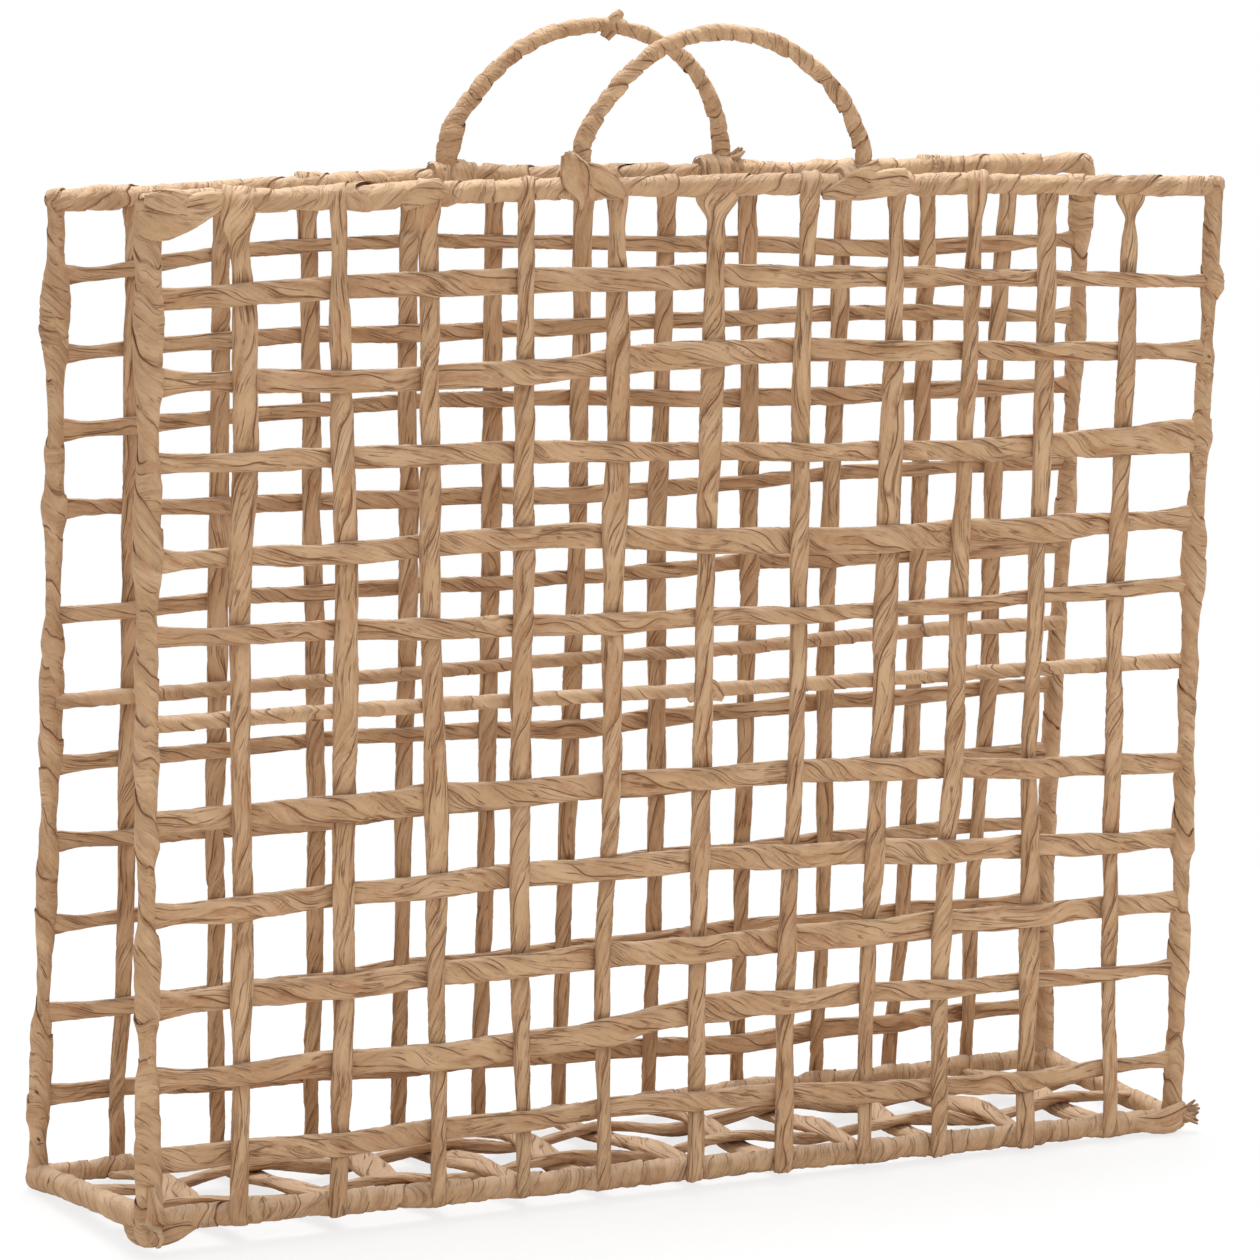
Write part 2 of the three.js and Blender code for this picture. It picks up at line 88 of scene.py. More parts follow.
def add(tree, kind, inputs=None, **settings):
    made = tree.nodes.new("ShaderNode" + kind)
    for name, value in settings.items():
        setattr(made, name, value)
    for name, value in (inputs or {}).items():
        if isinstance(value, bpy.types.NodeSocket):
            tree.links.new(value, made.inputs[name])
        else:
            made.inputs[name].default_value = value
    return made


def new_material(name):
    material = bpy.data.materials.new(name)
    material.use_nodes = True
    material.node_tree.nodes.clear()
    return material, material.node_tree


def blend_colours(tree, share, first, second):
    return add(tree, "Mix", {0: share, 6: first, 7: second}, data_type="RGBA").outputs[2]


def ramp(tree, value, low, high, to_low=0.0, to_high=1.0):
    """Stretches the stretch of a value from low to high over a new range, and holds it there."""
    inputs = {"Value": value, "From Min": low, "From Max": high, "To Min": to_low, "To Max": to_high}
    return add(tree, "MapRange", inputs, clamp=True).outputs[0]


def math_node(tree, operation, first, second=0.0):
    return add(tree, "Math", {0: first, 1: second}, operation=operation).outputs[0]

# %% [markdown]
# ## Floor and light
# The photograph has a plain white ground. The floor is white to the camera, and lets a little of the
# basket's soft shadow through close to it. One broad lamp in front does most of the work, one above
# and behind makes the tops of the rails bright, one on the right opens the shadows, and the world
# adds the rest evenly.

# %% Floor
SHADOW_REACH = (0.15, 0.6)
SHADOW_SHARE = 0.22
bpy.ops.mesh.primitive_plane_add(size=12, location=(0, 0, 0))
floor = bpy.context.object
floor.name = "floor"
floor_white, tree = new_material("white_floor")
place = add(tree, "TexCoord").outputs["Object"]
far_off = add(tree, "VectorMath", {0: place}, operation="LENGTH").outputs["Value"]
near_share = ramp(tree, far_off, *SHADOW_REACH, SHADOW_SHARE, 0.0)
matte = add(tree, "BsdfDiffuse", {"Color": (0.92, 0.92, 0.92, 1)})
glow = add(tree, "Emission", {"Color": (1, 1, 1, 1), "Strength": 1.0})
seen = add(tree, "MixShader", {0: near_share, 1: glow.outputs[0], 2: matte.outputs[0]})
is_camera = add(tree, "LightPath").outputs["Is Camera Ray"]
both = add(tree, "MixShader", {0: is_camera, 1: matte.outputs[0], 2: seen.outputs[0]})
add(tree, "OutputMaterial", {"Surface": both.outputs[0]})
floor.data.materials.append(floor_white)

# %% World and lamps
world = bpy.data.worlds.new("studio")
bpy.context.scene.world = world
world.use_nodes = True
tree = world.node_tree
tree.nodes.clear()
AMBIENT = 0.50
rays = add(tree, "LightPath").outputs
seen_or_mirrored = math_node(tree, "MAXIMUM", rays["Is Camera Ray"], rays["Is Glossy Ray"])
strength = ramp(tree, seen_or_mirrored, 0.0, 1.0, AMBIENT, 1.0)
sky = add(tree, "Background", {"Color": (1, 1, 1, 1), "Strength": strength})
add(tree, "OutputWorld", {"Surface": sky.outputs[0]})


def add_lamp(name, place, size, power):
    """A square soft box that looks at the middle of the basket."""
    bpy.ops.object.light_add(type="AREA", location=place)
    lamp = bpy.context.object
    lamp.name = name
    lamp.data.size = size
    lamp.data.energy = power
    towards = np.array((0, 0, 0.2)) - np.array(place)
    across = math.hypot(towards[0], towards[1])
    turn = math.atan2(towards[1], towards[0]) - math.pi / 2
    lamp.rotation_euler = (math.pi / 2 + math.atan2(towards[2], across), 0, turn)
    return lamp


add_lamp("key_lamp", (-0.9, -1.9, 1.9), 1.4, 13)
add_lamp("top_lamp", (0.1, 0.35, 2.0), 1.0, 38)
add_lamp("right_lamp", (2.2, -1.4, 1.0), 1.6, 8)

# %% [markdown]
# ## Sizes and places
# These are the real sizes of the basket, read off the photograph and turned into millimetres.
# Heights are measured from the bottom rails and places across from the middle.
# Every strand wanders a little, because a hand wove it, so each has a line of its own.

# %% Frame sizes
RAIL_LOW = 8.0
ACROSS_SHIFT = 0.7
PANEL_DEPTH = {"front": -43.0, "back": 43.0}
OUTWARD = {"front": -1, "back": 1}
TOP_RADIUS = 3.8
LOW_RADIUS = 3.45
WEAVE_LIFT = 1.75
BAR_INSET = 2.0
FLOOR_LINES = (-15.0, 15.0)
FLOOR_LEVEL = 6.0

# %% Places of the uprights
COLUMN_HEIGHTS = (320, 264, 198, 132, 66, 10)
COLUMNS = {
    "front": (
        (-166.5, -163.5, -165, -163.5, -163, -163), (-132.5, -131, -128, -128.5, -127.5, -128.5),
        (-101.6, -100, -99, -95.5, -94.5, -92), (-67, -66.5, -65.5, -65.5, -64, -61.5),
        (-34.5, -32.5, -33, -32, -34, -31.5), (2, 2, 1.5, 1.5, 2, 3),
        (37, 35.5, 37, 37.5, 36, 37), (70, 71, 71, 70.5, 68, 68.5),
        (101.5, 100.5, 99.5, 99.5, 97, 98.5), (129.5, 131, 130.5, 130.5, 133, 133.5),
        (163, 164, 163, 164.5, 166, 168.5),
    ),
    "back": (
        (-167, -167.5, -167.5, -168.5, -169.5, -172.5), (-136.5, -136.5, -136.5, -137.5, -136.5, -136),
        (-106, -104, -102.5, -100.5, -100, -101), (-68.5, -68.5, -67, -67.5, -67.5, -68),
        (-37.5, -36.5, -36, -36, -36, -37.5), (-3, -3, -3, -4, -5, -6),
        (29, 29, 28, 30, 30.5, 30), (60.5, 63, 65, 65.5, 65.5, 65.5),
        (99.5, 99, 97.5, 98, 99.5, 98.5), (134, 134.5, 134.5, 134.5, 133, 129.5),
        (167.5, 164.5, 165.5, 166, 162.5, 162.5),
    ),
}

# %% How wide each upright is at those heights, and where it spreads over the top rail
COLUMN_WIDTHS = {
    "front": (
        (6.4, 8.6, 7.2, 6.7, 7.1, 5.9), (5.4, 7.4, 8.2, 8, 7, 6.6), (6.7, 6.7, 7.1, 8, 5.8, 5.5),
        (5, 6.7, 7.2, 8, 6.1, 4.9), (6.2, 8.4, 8.1, 6.6, 5.7, 5.1), (7.2, 8.1, 6.7, 6.7, 6.5, 6.2),
        (6.2, 6.5, 6.6, 5.8, 7, 7.2), (5.3, 7.8, 8.2, 7.7, 5.8, 5.2), (5.3, 6.3, 6.7, 7, 6.9, 5.6),
        (7.2, 7.2, 6.7, 6.2, 8, 6.2), (5.6, 6.8, 6.3, 6.3, 6.2, 5.5),
    ),
    "back": ((6.9, 6.7, 7, 6.6, 5.8, 5.4),) * 11,
}
TOP_SPREADS = {"front": (11, 5.6, 10, 5.5, 8, 14.5, 7, 7.5, 7, 8.5, 11), "back": (8.5,) * 11}
TOP_NECKS = {"front": (7, 5.2, 7, 5, 6.2, 6.2, 6.2, 5.4, 5.4, 7, 3.4), "back": (6.8,) * 11}
OVER_THE_RAIL = {"front": (0, 1, 2, 3, 6, 8), "back": (2, 4, 7, 9)}

# %% Places of the rows, from the top down, and of the rails
ROW_PLACES = (-185, -120, -60, 0, 60, 120, 185)
ROWS = {
    "front": (
        (297.5, 300, 300.5, 300.5, 299.5, 298, 295.5), (271.5, 270, 271.5, 275.5, 275, 273, 271),
        (246, 245.5, 245, 243, 241, 240, 241.5), (215.5, 215.5, 217.5, 213.5, 211, 211.5, 212.5),
        (191.5, 190, 188, 187.5, 186.5, 187.5, 189.5), (132.5, 133, 133.5, 133.5, 132.5, 129, 126),
        (102.5, 104, 105.5, 105.5, 103.5, 100.5, 99), (73.5, 74.5, 75.5, 75.5, 75.5, 76, 76),
        (49, 48.5, 48, 53.5, 54, 52.5, 52.5), (22.8, 22, 22.8, 23.2, 20, 17, 18.5),
    ),
    "back": (
        (297.5, 305, 306.5, 305, 303.5, 301, 303), (272, 275.5, 275.5, 276.5, 278, 278.5, 275.5),
        (247, 250, 252.5, 251.5, 249.5, 249.5, 250.5), (221, 219.5, 219.5, 218, 220, 222, 222),
        (186, 188.5, 189, 189, 191, 191, 191.5), (136, 137.5, 138, 136, 138.5, 139, 140),
        (110, 109.5, 111.5, 112.5, 113.5, 114.5, 115.5), (82, 83.5, 85, 86.5, 87.5, 89, 88.5),
        (52, 54, 56, 57, 58.5, 59, 59.5), (24, 22.5, 21, 19.5, 17, 18.5, 19),
    ),
}
BARS = {
    "front": (163.5, 164, 163.5, 163, 162.5, 162.5, 162),
    "back": (157.5, 158.5, 159.5, 161, 161, 163, 163),
}
TOP_RAILS = {
    "front": (326.8, 328.4, 329.9, 330.5, 330.4, 329.6, 328.3),
    "back": (321.8, 325, 327.2, 328.5, 328.4, 329.4, 330.4),
}
BOTTOM_RAILS = {
    "front": (3.5, 2, 0.5, -0.5, -1.5, -2.5, -3),
    "back": (-3.2, -3.3, -3.3, -2.4, -0.8, -1.3, -0.8),
}
ROWS_ABOVE_BAR = 5

# %% How wide each row is at five places across
WIDTH_PLACES = (-185, -90, 0, 90, 185)
ROW_WIDTHS = {
    "front": (
        (6.5, 8.5, 8, 6.5, 4.5), (7, 8, 8.5, 6.5, 6.5), (6.5, 7, 6.5, 7, 11), (6.5, 7.5, 8.5, 9.5, 7),
        (6, 7, 6.5, 5.2, 5.5), (7.5, 9, 8, 8, 7), (8.5, 7.5, 8.5, 8.5, 7), (8, 8.5, 9.3, 9.5, 7),
        (7, 9, 9.3, 6.5, 5), (8.5, 7.6, 7, 7.2, 5.5),
    ),
    "back": (
        (5.5, 4.5, 5, 6, 5.5), (5, 6, 5.5, 5.5, 5), (6, 5, 5.5, 6.5, 5.5), (5.5, 6, 6, 5, 5.5),
        (5.5, 5.5, 5, 6, 6), (6, 5, 6.5, 6, 5.5), (5.5, 6, 5.5, 7, 6), (5.5, 6.5, 6, 5.5, 5.5),
        (6, 5.5, 6, 6.5, 6), (6.5, 7, 6.5, 7, 6),
    ),
}
print("strands:", sum(len(table) for table in (*COLUMNS.values(), *ROWS.values())))

# %% Posts: where each one runs, and how thick its paper is at each height
POSTS = {
    ("front", "left"): (-196.6, -196, -196.3, -196, -195.3, -194.5),
    ("front", "right"): (197.3, 196.5, 195, 195, 195.5, 195.5),
    ("back", "left"): (-194.5, -194.5, -195, -196, -198, -200),
    ("back", "right"): (199, 198.5, 196.5, 194.5, 193.5, 195),
}
POST_THICKNESS = {
    ("front", "left"): (
        (-3, 8.8), (3, 8.8), (10, 8.2), (32, 7.8), (48, 7.6), (54, 6), (64, 5.8), (71, 8.6), (80, 7.8),
        (94, 7.8), (100, 5.8), (119, 5.8), (125, 7.8), (135, 6.9), (143, 7), (151, 7.8), (167, 7),
        (175, 7.4), (183, 7.8), (191, 6.8), (199, 6.8), (207, 7.6), (215, 8.8), (228, 8.4), (238, 8),
        (246, 7.2), (254, 6.6), (262, 7.2), (270, 8.5), (278, 8.6), (290, 9), (302, 7.6), (310, 8.2),
        (330, 8.2),
    ),
    ("front", "right"): (
        (-3, 9), (4, 7), (10, 6.9), (19, 7.4), (24, 6.2), (37, 6.3), (46, 6.6), (51, 7.9), (66, 7.4),
        (76, 6), (90, 6), (95, 8.2), (105, 7.5), (112, 6.9), (119, 8), (126, 6.4), (135, 6.1), (151, 6.8),
        (162, 7.3), (168, 5.9), (180, 6.6), (187, 8.2), (206, 8.5), (212, 6.6), (225, 5.9), (234, 6.3),
        (240, 8), (246, 6.8), (255, 6.1), (269, 6.6), (274, 5.2), (284, 5), (291, 6.2), (301, 6.4),
        (322, 6.2), (330, 7.8),
    ),
    ("back", "left"): (
        (-3, 8), (5, 6.4), (12, 6.1), (16, 8.2), (27, 8), (42, 7.9), (49, 7.6), (53, 5.6), (72, 5.7),
        (79, 6.7), (86, 7.5), (103, 7.7), (111, 6.6), (120, 5.6), (127, 6.4), (134, 7.4), (143, 8.3),
        (150, 7.8), (164, 8.4), (170, 7.2), (176, 8.4), (181, 7.4), (186, 5.4), (204, 6), (214, 6.6),
        (218, 8.5), (224, 8.4), (229, 6.8), (241, 7), (247, 5.9), (265, 6.3), (271, 8), (280, 8.6),
        (289, 9.8), (297, 8.3), (303, 6.4), (322, 6.2),
    ),
    ("back", "right"): (
        (-3, 9.2), (5, 8.4), (40, 8), (100, 7.2), (152, 7.2), (180, 6.1), (190, 6.5), (206, 8.4),
        (217, 7.1), (240, 6), (268, 8.2), (281, 6.5), (297, 6.2), (305, 8.4), (312, 8.6), (319, 9.4),
        (330, 8.2),
    ),
}

# %% [markdown]
# ## Lines that strands follow
# A strand of paper cord has no corners, so a smooth line is led through its measured places.
# `through` reads such a line at any place, and `smooth_line` leads one through points in space
# and cuts it into even steps, which keeps the mesh of every strand regular.

# %% Smooth lines
def through(places, values, at):
    """A smooth line through measured values, read at one place or at many."""
    order = np.argsort(places)
    places, values = np.asarray(places, float)[order], np.asarray(values, float)[order]
    slopes = np.gradient(values, places)
    at = np.clip(at, places[0], places[-1])
    i = np.clip(np.searchsorted(places, at) - 1, 0, len(places) - 2)
    span = places[i + 1] - places[i]
    t = (at - places[i]) / span
    start = (1 + 2 * t) * (1 - t) ** 2 * values[i] + t * (1 - t) ** 2 * span * slopes[i]
    end = t * t * (3 - 2 * t) * values[i + 1] + t * t * (t - 1) * span * slopes[i + 1]
    return start + end


def run_length(points):
    return np.concatenate(([0], np.cumsum(np.linalg.norm(np.diff(points[:, :3], axis=0), axis=1))))


def smooth_line(points, step):
    """Even steps along a smooth line. What follows the three places, such as a width, rides along."""
    points = np.asarray(points, float)
    along = run_length(points)
    fine = np.linspace(0, along[-1], int(along[-1] / step * 4) + 2)
    line = np.stack([through(along, column, fine) for column in points.T], axis=1)
    run = run_length(line)
    even = np.linspace(0, run[-1], max(3, int(round(run[-1] / step)) + 1))
    return np.stack([np.interp(even, run, column) for column in line.T], axis=1)


def drift(rng, count, reach, size):
    """A gentle random drift along a strand: new values every `reach` steps, joined smoothly."""
    knots = np.arange(0, count + 2 * reach, reach)
    return through(knots, rng.normal(0, size, len(knots)), np.arange(count))


def far_apart(seed):
    """From where on an endless sheet of paper a piece takes its pattern, in millimetres."""
    return seed * 137.0 % 2000


def column_x(panel, column, height):
    return through(COLUMN_HEIGHTS, COLUMNS[panel][column], height)


def post_x(panel, side, height):
    return through(COLUMN_HEIGHTS, POSTS[panel, side], height)


def weave_side(row, column):
    """Which way the row cord leans at a crossing: -1 is towards the camera."""
    return -1 if (row + column) % 2 == 0 else 1

# %% [markdown]
# ## Paper finishes
# Kraft paper is never one flat brown. Its fibres run along the strip, so the colour is streaked that
# way. Shade is painted into the colour as well: a thin dark line at the edge of each fold, darker
# hollows and small dark pits, and a painted highlight on ridges and on what faces up. The patterns
# follow each strand's own maps. "strand" counts millimetres across and along the fibres, and "laps"
# counts the folds, so a painted crease shade always lies at the foot of a fold that is really there.

# %% Paper material
PAPER_LIGHT = srgb(208, 172, 135)
PAPER_MIDDLE = srgb(187, 148, 111)
PAPER_WARM = srgb(163, 116, 80)
PAINTED_CREASE_AND_PIT_SHADE = srgb(112, 65, 37)
PAINTED_TOP_HIGHLIGHT = srgb(226, 202, 175)
SMALL_CREASE = 0.85
PIT_NET = (0.11, 0.05, 1)
BUMP_DEPTH = 0.5


def paper_material(name, crease_shade_strength, streaks, mottle, holes, slashes, fold_widths, crumple, grain):
    """Paper in layers. The two sizes of each noise are millimetres across and along the fibres."""
    material, tree = new_material(name)
    strand_map = add(tree, "UVMap", uv_map="strand").outputs[0]
    fold_map = add(tree, "SeparateXYZ", {0: add(tree, "UVMap", uv_map="laps").outputs[0]}).outputs

    def noise(across, along, detail=2.0, roughness=0.5):
        sizes = {"Vector": strand_map, "Scale": (1 / across, 1 / along, 1)}
        vector = add(tree, "Mapping", sizes).outputs[0]
        inputs = {"Vector": vector, "Scale": 1.0, "Detail": detail, "Roughness": roughness}
        return add(tree, "TexNoise", inputs).outputs[0]

    def scaled(value, share):
        return math_node(tree, "MULTIPLY", value, share)

    def fold_line(count, width, shown):
        """A thin line where a fold map passes a whole number, shown only in places."""
        near = math_node(tree, "PINGPONG", count, 0.5)
        return scaled(ramp(tree, near, 0.0, width, 1.0, 0.0), shown)

    def wrinkles(across, along, width, low, high):
        """Thin lines that wander along the fibres, where a stretched noise passes its middle."""
        off = math_node(tree, "ABSOLUTE", math_node(tree, "SUBTRACT", noise(across, along, 1.0), 0.5))
        shown = ramp(tree, noise(4 * across, 0.3 * along), low, high)
        return scaled(ramp(tree, off, 0.0, width, 1.0, 0.0), shown)

    # Painted crease shade: dark lines at the edges of deep folds, the edges of small ones, and wrinkles
    # between them.
    deep_line = fold_line(fold_map[0], fold_widths[0], ramp(tree, noise(5, 16), 0.42, 0.54))
    small_line = fold_line(fold_map[1], fold_widths[1], ramp(tree, noise(4, 9), 0.50, 0.62))
    wrinkle = math_node(tree, "MAXIMUM", wrinkles(1.4, 60, 0.018, 0.48, 0.56),
                        wrinkles(0.8, 30, 0.024, 0.52, 0.60))
    small_line = math_node(tree, "MAXIMUM", small_line, scaled(wrinkle, slashes))
    crease = math_node(tree, "MAXIMUM", deep_line, scaled(small_line, SMALL_CREASE))

    # Here and there is a small pit with painted shade in it, never more than one in each cell of a loose
    # net.
    net = add(tree, "Mapping", {"Vector": strand_map, "Scale": PIT_NET}).outputs[0]
    pits = add(tree, "TexVoronoi", {"Vector": net, "Scale": 1.0, "Randomness": 1.0}).outputs["Distance"]
    hole = ramp(tree, pits, holes, holes * 0.4)

    # Colours are laid over each other: broad patches, fibres, fine mottle, painted shade in the hollow
    # and a painted highlight on the ridge of each fold, a painted highlight on what faces up, and last
    # painted shade in the creases and pits.
    fibre = noise(0.8, 40, 4.0, 0.6)
    fine = noise(0.25, 2.5, 3.0)
    fold = add(tree, "Attribute", attribute_name="fold").outputs["Fac"]
    facing = add(tree, "SeparateXYZ", {0: add(tree, "NewGeometry").outputs["Normal"]}).outputs[2]
    colour = blend_colours(tree, ramp(tree, noise(6, 22), 0.36, 0.64), PAPER_MIDDLE, PAPER_LIGHT)
    layers = (
        (ramp(tree, noise(30, 60, 1.0), 0.50, 0.68, 0, 0.35), PAPER_WARM),
        (ramp(tree, fibre, 0.50, 0.72, 0, streaks), PAPER_WARM),
        (ramp(tree, fine, 0.40, 0.66, 0, mottle), PAPER_LIGHT),
        # Painted shade in the hollow of each fold, and a painted highlight on its ridge.
        (ramp(tree, fold, 0.42, 0.0, 0, 0.7), PAPER_WARM),
        (ramp(tree, fold, 0.62, 1.0, 0, 0.5), PAPER_LIGHT),
        # Painted highlight: lighter where the surface faces up.
        (ramp(tree, facing, 0.35, 0.95, 0, 0.5), PAINTED_TOP_HIGHLIGHT),
        # Painted shade in the creases and the pits.
        (scaled(crease, crease_shade_strength), PAINTED_CREASE_AND_PIT_SHADE),
        (hole, PAINTED_CREASE_AND_PIT_SHADE),
    )
    for share, over in layers:
        colour = blend_colours(tree, share, colour, over)
    height = math_node(tree, "SUBTRACT", scaled(fibre, grain), crease)
    for relief, size in ((fine, 0.3), (noise(2.4, 4.0), crumple), (hole, -1.5)):
        height = math_node(tree, "ADD", height, scaled(relief, size))
    bump = add(tree, "Bump", {"Height": height, "Strength": 0.8, "Distance": BUMP_DEPTH * MM})
    surface = {"Base Color": colour, "Roughness": 0.85, "Specular IOR Level": 0.2}
    shader = add(tree, "BsdfPrincipled", {**surface, "Normal": bump.outputs[0]})
    add(tree, "OutputMaterial", {"Surface": shader.outputs[0]})
    return material


cord_paper = paper_material("kraft_cord", crease_shade_strength=0.88, streaks=0.7, mottle=0.35, holes=0.02,
                            slashes=1.0, fold_widths=(0.045, 0.06), crumple=1.5, grain=1.4)
wrap_paper = paper_material("kraft_wrap", crease_shade_strength=1.0, streaks=0.3, mottle=0.45, holes=0.08,
                            slashes=0.6, fold_widths=(0.045, 0.05), crumple=4.0, grain=0.5)

# %% Steel of the wires
steel, tree = new_material("drawn_steel")
along_wire = add(tree, "TexCoord").outputs["Object"]
scratches = add(tree, "TexNoise", {"Vector": along_wire, "Scale": 900, "Detail": 3}).outputs[0]
steel_colour = blend_colours(tree, scratches, srgb(176, 178, 180), srgb(140, 142, 145))
steel_finish = {"Base Color": steel_colour, "Metallic": 1.0, "Roughness": 0.35}
shader = add(tree, "BsdfPrincipled", steel_finish)
add(tree, "OutputMaterial", {"Surface": shader.outputs[0]})
print("finishes:", cord_paper.name, wrap_paper.name, steel.name)

# %% [markdown]
# ## Finishing a piece
# Every new piece is smoothed, given its finish and tied to the basket's one body, and the CAD
# solids whose place it takes are hidden.

# %% Finish helpers
def select_only(piece):
    bpy.ops.object.select_all(action="DESELECT")
    piece.select_set(True)
    bpy.context.view_layer.objects.active = piece


def apply_modifier(piece, name):
    select_only(piece)
    bpy.ops.object.modifier_apply(modifier=name)


def read_all(items, field, width=1, kind=float):
    values = np.empty(len(items) * width, kind)
    items.foreach_get(field, values)
    return values.reshape(-1, width) if width > 1 else values


def coordinates(mesh):
    return read_all(mesh.vertices, "co", 3)


def set_coordinates(mesh, values):
    mesh.vertices.foreach_set("co", np.asarray(values).ravel())
    mesh.update()


def add_map(mesh, name, values):
    layer = mesh.uv_layers.get(name) or mesh.uv_layers.new(name=name)
    layer.uv.foreach_set("vector", np.asarray(values).ravel())


def keep_fold(mesh, values):
    """Keeps how deep each point lies in a fold, from 0 in a hollow to 1 on a ridge."""
    kept = mesh.attributes.new("fold", "FLOAT", "POINT")
    kept.data.foreach_set("value", np.clip(values, 0, 1).astype(np.float32))


def join(pieces):
    """Makes one piece of several. The first one keeps its name."""
    bpy.ops.object.select_all(action="DESELECT")
    for piece in pieces:
        piece.select_set(True)
    bpy.context.view_layer.objects.active = pieces[0]
    bpy.ops.object.join()
    return pieces[0]


FINISHES = {"paper_cord": cord_paper, "paper_wrap": wrap_paper, "steel_wire": steel}
SHARP_ANGLE = math.radians(40)


def finish_piece(piece, slot, *nodes, look=None):
    piece.data.materials.clear()
    piece.data.materials.append(look or FINISHES[slot])
    select_only(piece)
    bpy.ops.object.shade_smooth_by_angle(angle=SHARP_ANGLE)
    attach(piece, "root")
    if nodes:
        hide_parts(*nodes)


LUMP_SIZES = {"paper_lumps": (9, 1.0), "paper_crumples": (3.5, 0.5)}
for name, (size, _) in LUMP_SIZES.items():
    texture = bpy.data.textures.new(name, "CLOUDS")
    texture.noise_scale = size * MM
    texture.noise_depth = 2


def add_lumps(piece, strength):
    for name, (_, share) in LUMP_SIZES.items():
        modifier = piece.modifiers.new(name, "DISPLACE")
        modifier.texture = bpy.data.textures[name]
        modifier.texture_coords = "LOCAL"
        modifier.strength = strength * share * MM
        modifier.mid_level = 0.5
        apply_modifier(piece, name)

# %% [markdown]
# ## The flattened cord
# The cord is a paper strip twisted into a string and pressed flat: about 7 mm wide and under 3 mm
# thick, with folds that climb round it. A curve carries a flat outline along the strand's line,
# wider or narrower and turned a little at every step, and is converted to a mesh. A plain tube
# would show no folds, so each ring of points is then moved in or out: the height rises slowly across
# a fold and drops at its edge, and the edges climb round the strand as the twist does.

# %% Cord outline
CORD_WIDTH = 6.6
CORD_THICKNESS = 2.9
CORD_STEP = 1.3
OUTLINE_POINTS = 36
PERIMETER = 0.9 * 2 * (CORD_WIDTH + CORD_THICKNESS)
TWIST_SLOPE = 0.20
CORD_LAPS = ((3, 0.26), (7, 0.20))
ROUGHNESS = 0.035

# What drifts along a strand: over how many steps, and by how much.
WIDTH_DRIFT = (9, 0.05)
SLOPE_DRIFT = (12, 0.8)
LAP_DRIFT = (10, 0.7)
LAP_LIMITS = (0.15, 2.0)
LAP_WANDER = (0.14, 0.3)
TILT_REACH, SWAY_REACH, WANDER_REACH = 16, 14, 7
FULLER_WHEN_NARROW = -0.6


def curve_object(name, points, cyclic=False):
    """A curve through the points, in metres, added as a path and given its own points."""
    bpy.ops.curve.primitive_nurbs_path_add()
    made = bpy.context.object
    made.name = name
    made.data.splines.clear()
    spline = made.data.splines.new("POLY")
    spline.points.add(len(points) - 1)
    spline.points.foreach_set("co", np.c_[points, np.ones(len(points))].ravel())
    spline.use_cyclic_u = cyclic
    return made


def outline_curve(name, width, thickness, squareness):
    angles = np.linspace(0, 2 * math.pi, OUTLINE_POINTS, endpoint=False)
    across = np.sign(np.cos(angles)) * np.abs(np.cos(angles)) ** squareness * width / 2
    deep = np.sign(np.sin(angles)) * np.abs(np.sin(angles)) ** squareness * thickness / 2
    return curve_object(name, np.c_[deep, across, np.zeros(OUTLINE_POINTS)] * MM, cyclic=True)


cord_outline = outline_curve("cord_outline", CORD_WIDTH, CORD_THICKNESS, 0.8)
round_outline = outline_curve("round_outline", 2.0, 2.0, 1.0)

# %% Tube maker
def tube(name, points, outline, sizes, tilts, twist_mode):
    """A closed tube along a line in millimetres. Its points are numbered round it, ring by ring."""
    line = curve_object(name, points * MM)
    spline = line.data.splines[0]
    spline.points.foreach_set("radius", np.asarray(sizes, float))
    spline.points.foreach_set("tilt", np.asarray(tilts, float))
    line.data.bevel_mode = "OBJECT"
    line.data.bevel_object = outline
    line.data.twist_mode = twist_mode
    select_only(line)
    bpy.ops.object.convert(target="MESH")
    piece = bpy.context.object
    bpy.ops.object.mode_set(mode="EDIT")
    bpy.ops.mesh.select_all(action="SELECT")
    bpy.ops.mesh.fill_holes(sides=0)
    bpy.ops.object.mode_set(mode="OBJECT")
    mesh = piece.data
    mesh.uv_layers[0].name = "strand"
    grid = np.arange(len(mesh.vertices)).reshape(-1, OUTLINE_POINTS)
    ring, spot = np.divmod(read_all(mesh.loops, "vertex_index", kind=int), OUTLINE_POINTS)

    # The two ends are the last faces. The others meet again at the seam, where 36 stands for 0.
    sides = spot[:-2 * OUTLINE_POINTS].reshape(-1, 4)
    at_seam = np.ptp(sides, axis=1) > 1
    sides[at_seam[:, None] & (sides == 0)] = OUTLINE_POINTS
    return piece, grid, ring, spot / OUTLINE_POINTS

# %% Cord maker
def lap(turns, drop=0.14):
    """How high one fold stands over the next: a slow rise, and then a sudden drop."""
    share = turns % 1
    return np.minimum(share / (1 - drop), (1 - share) / drop) - 0.5


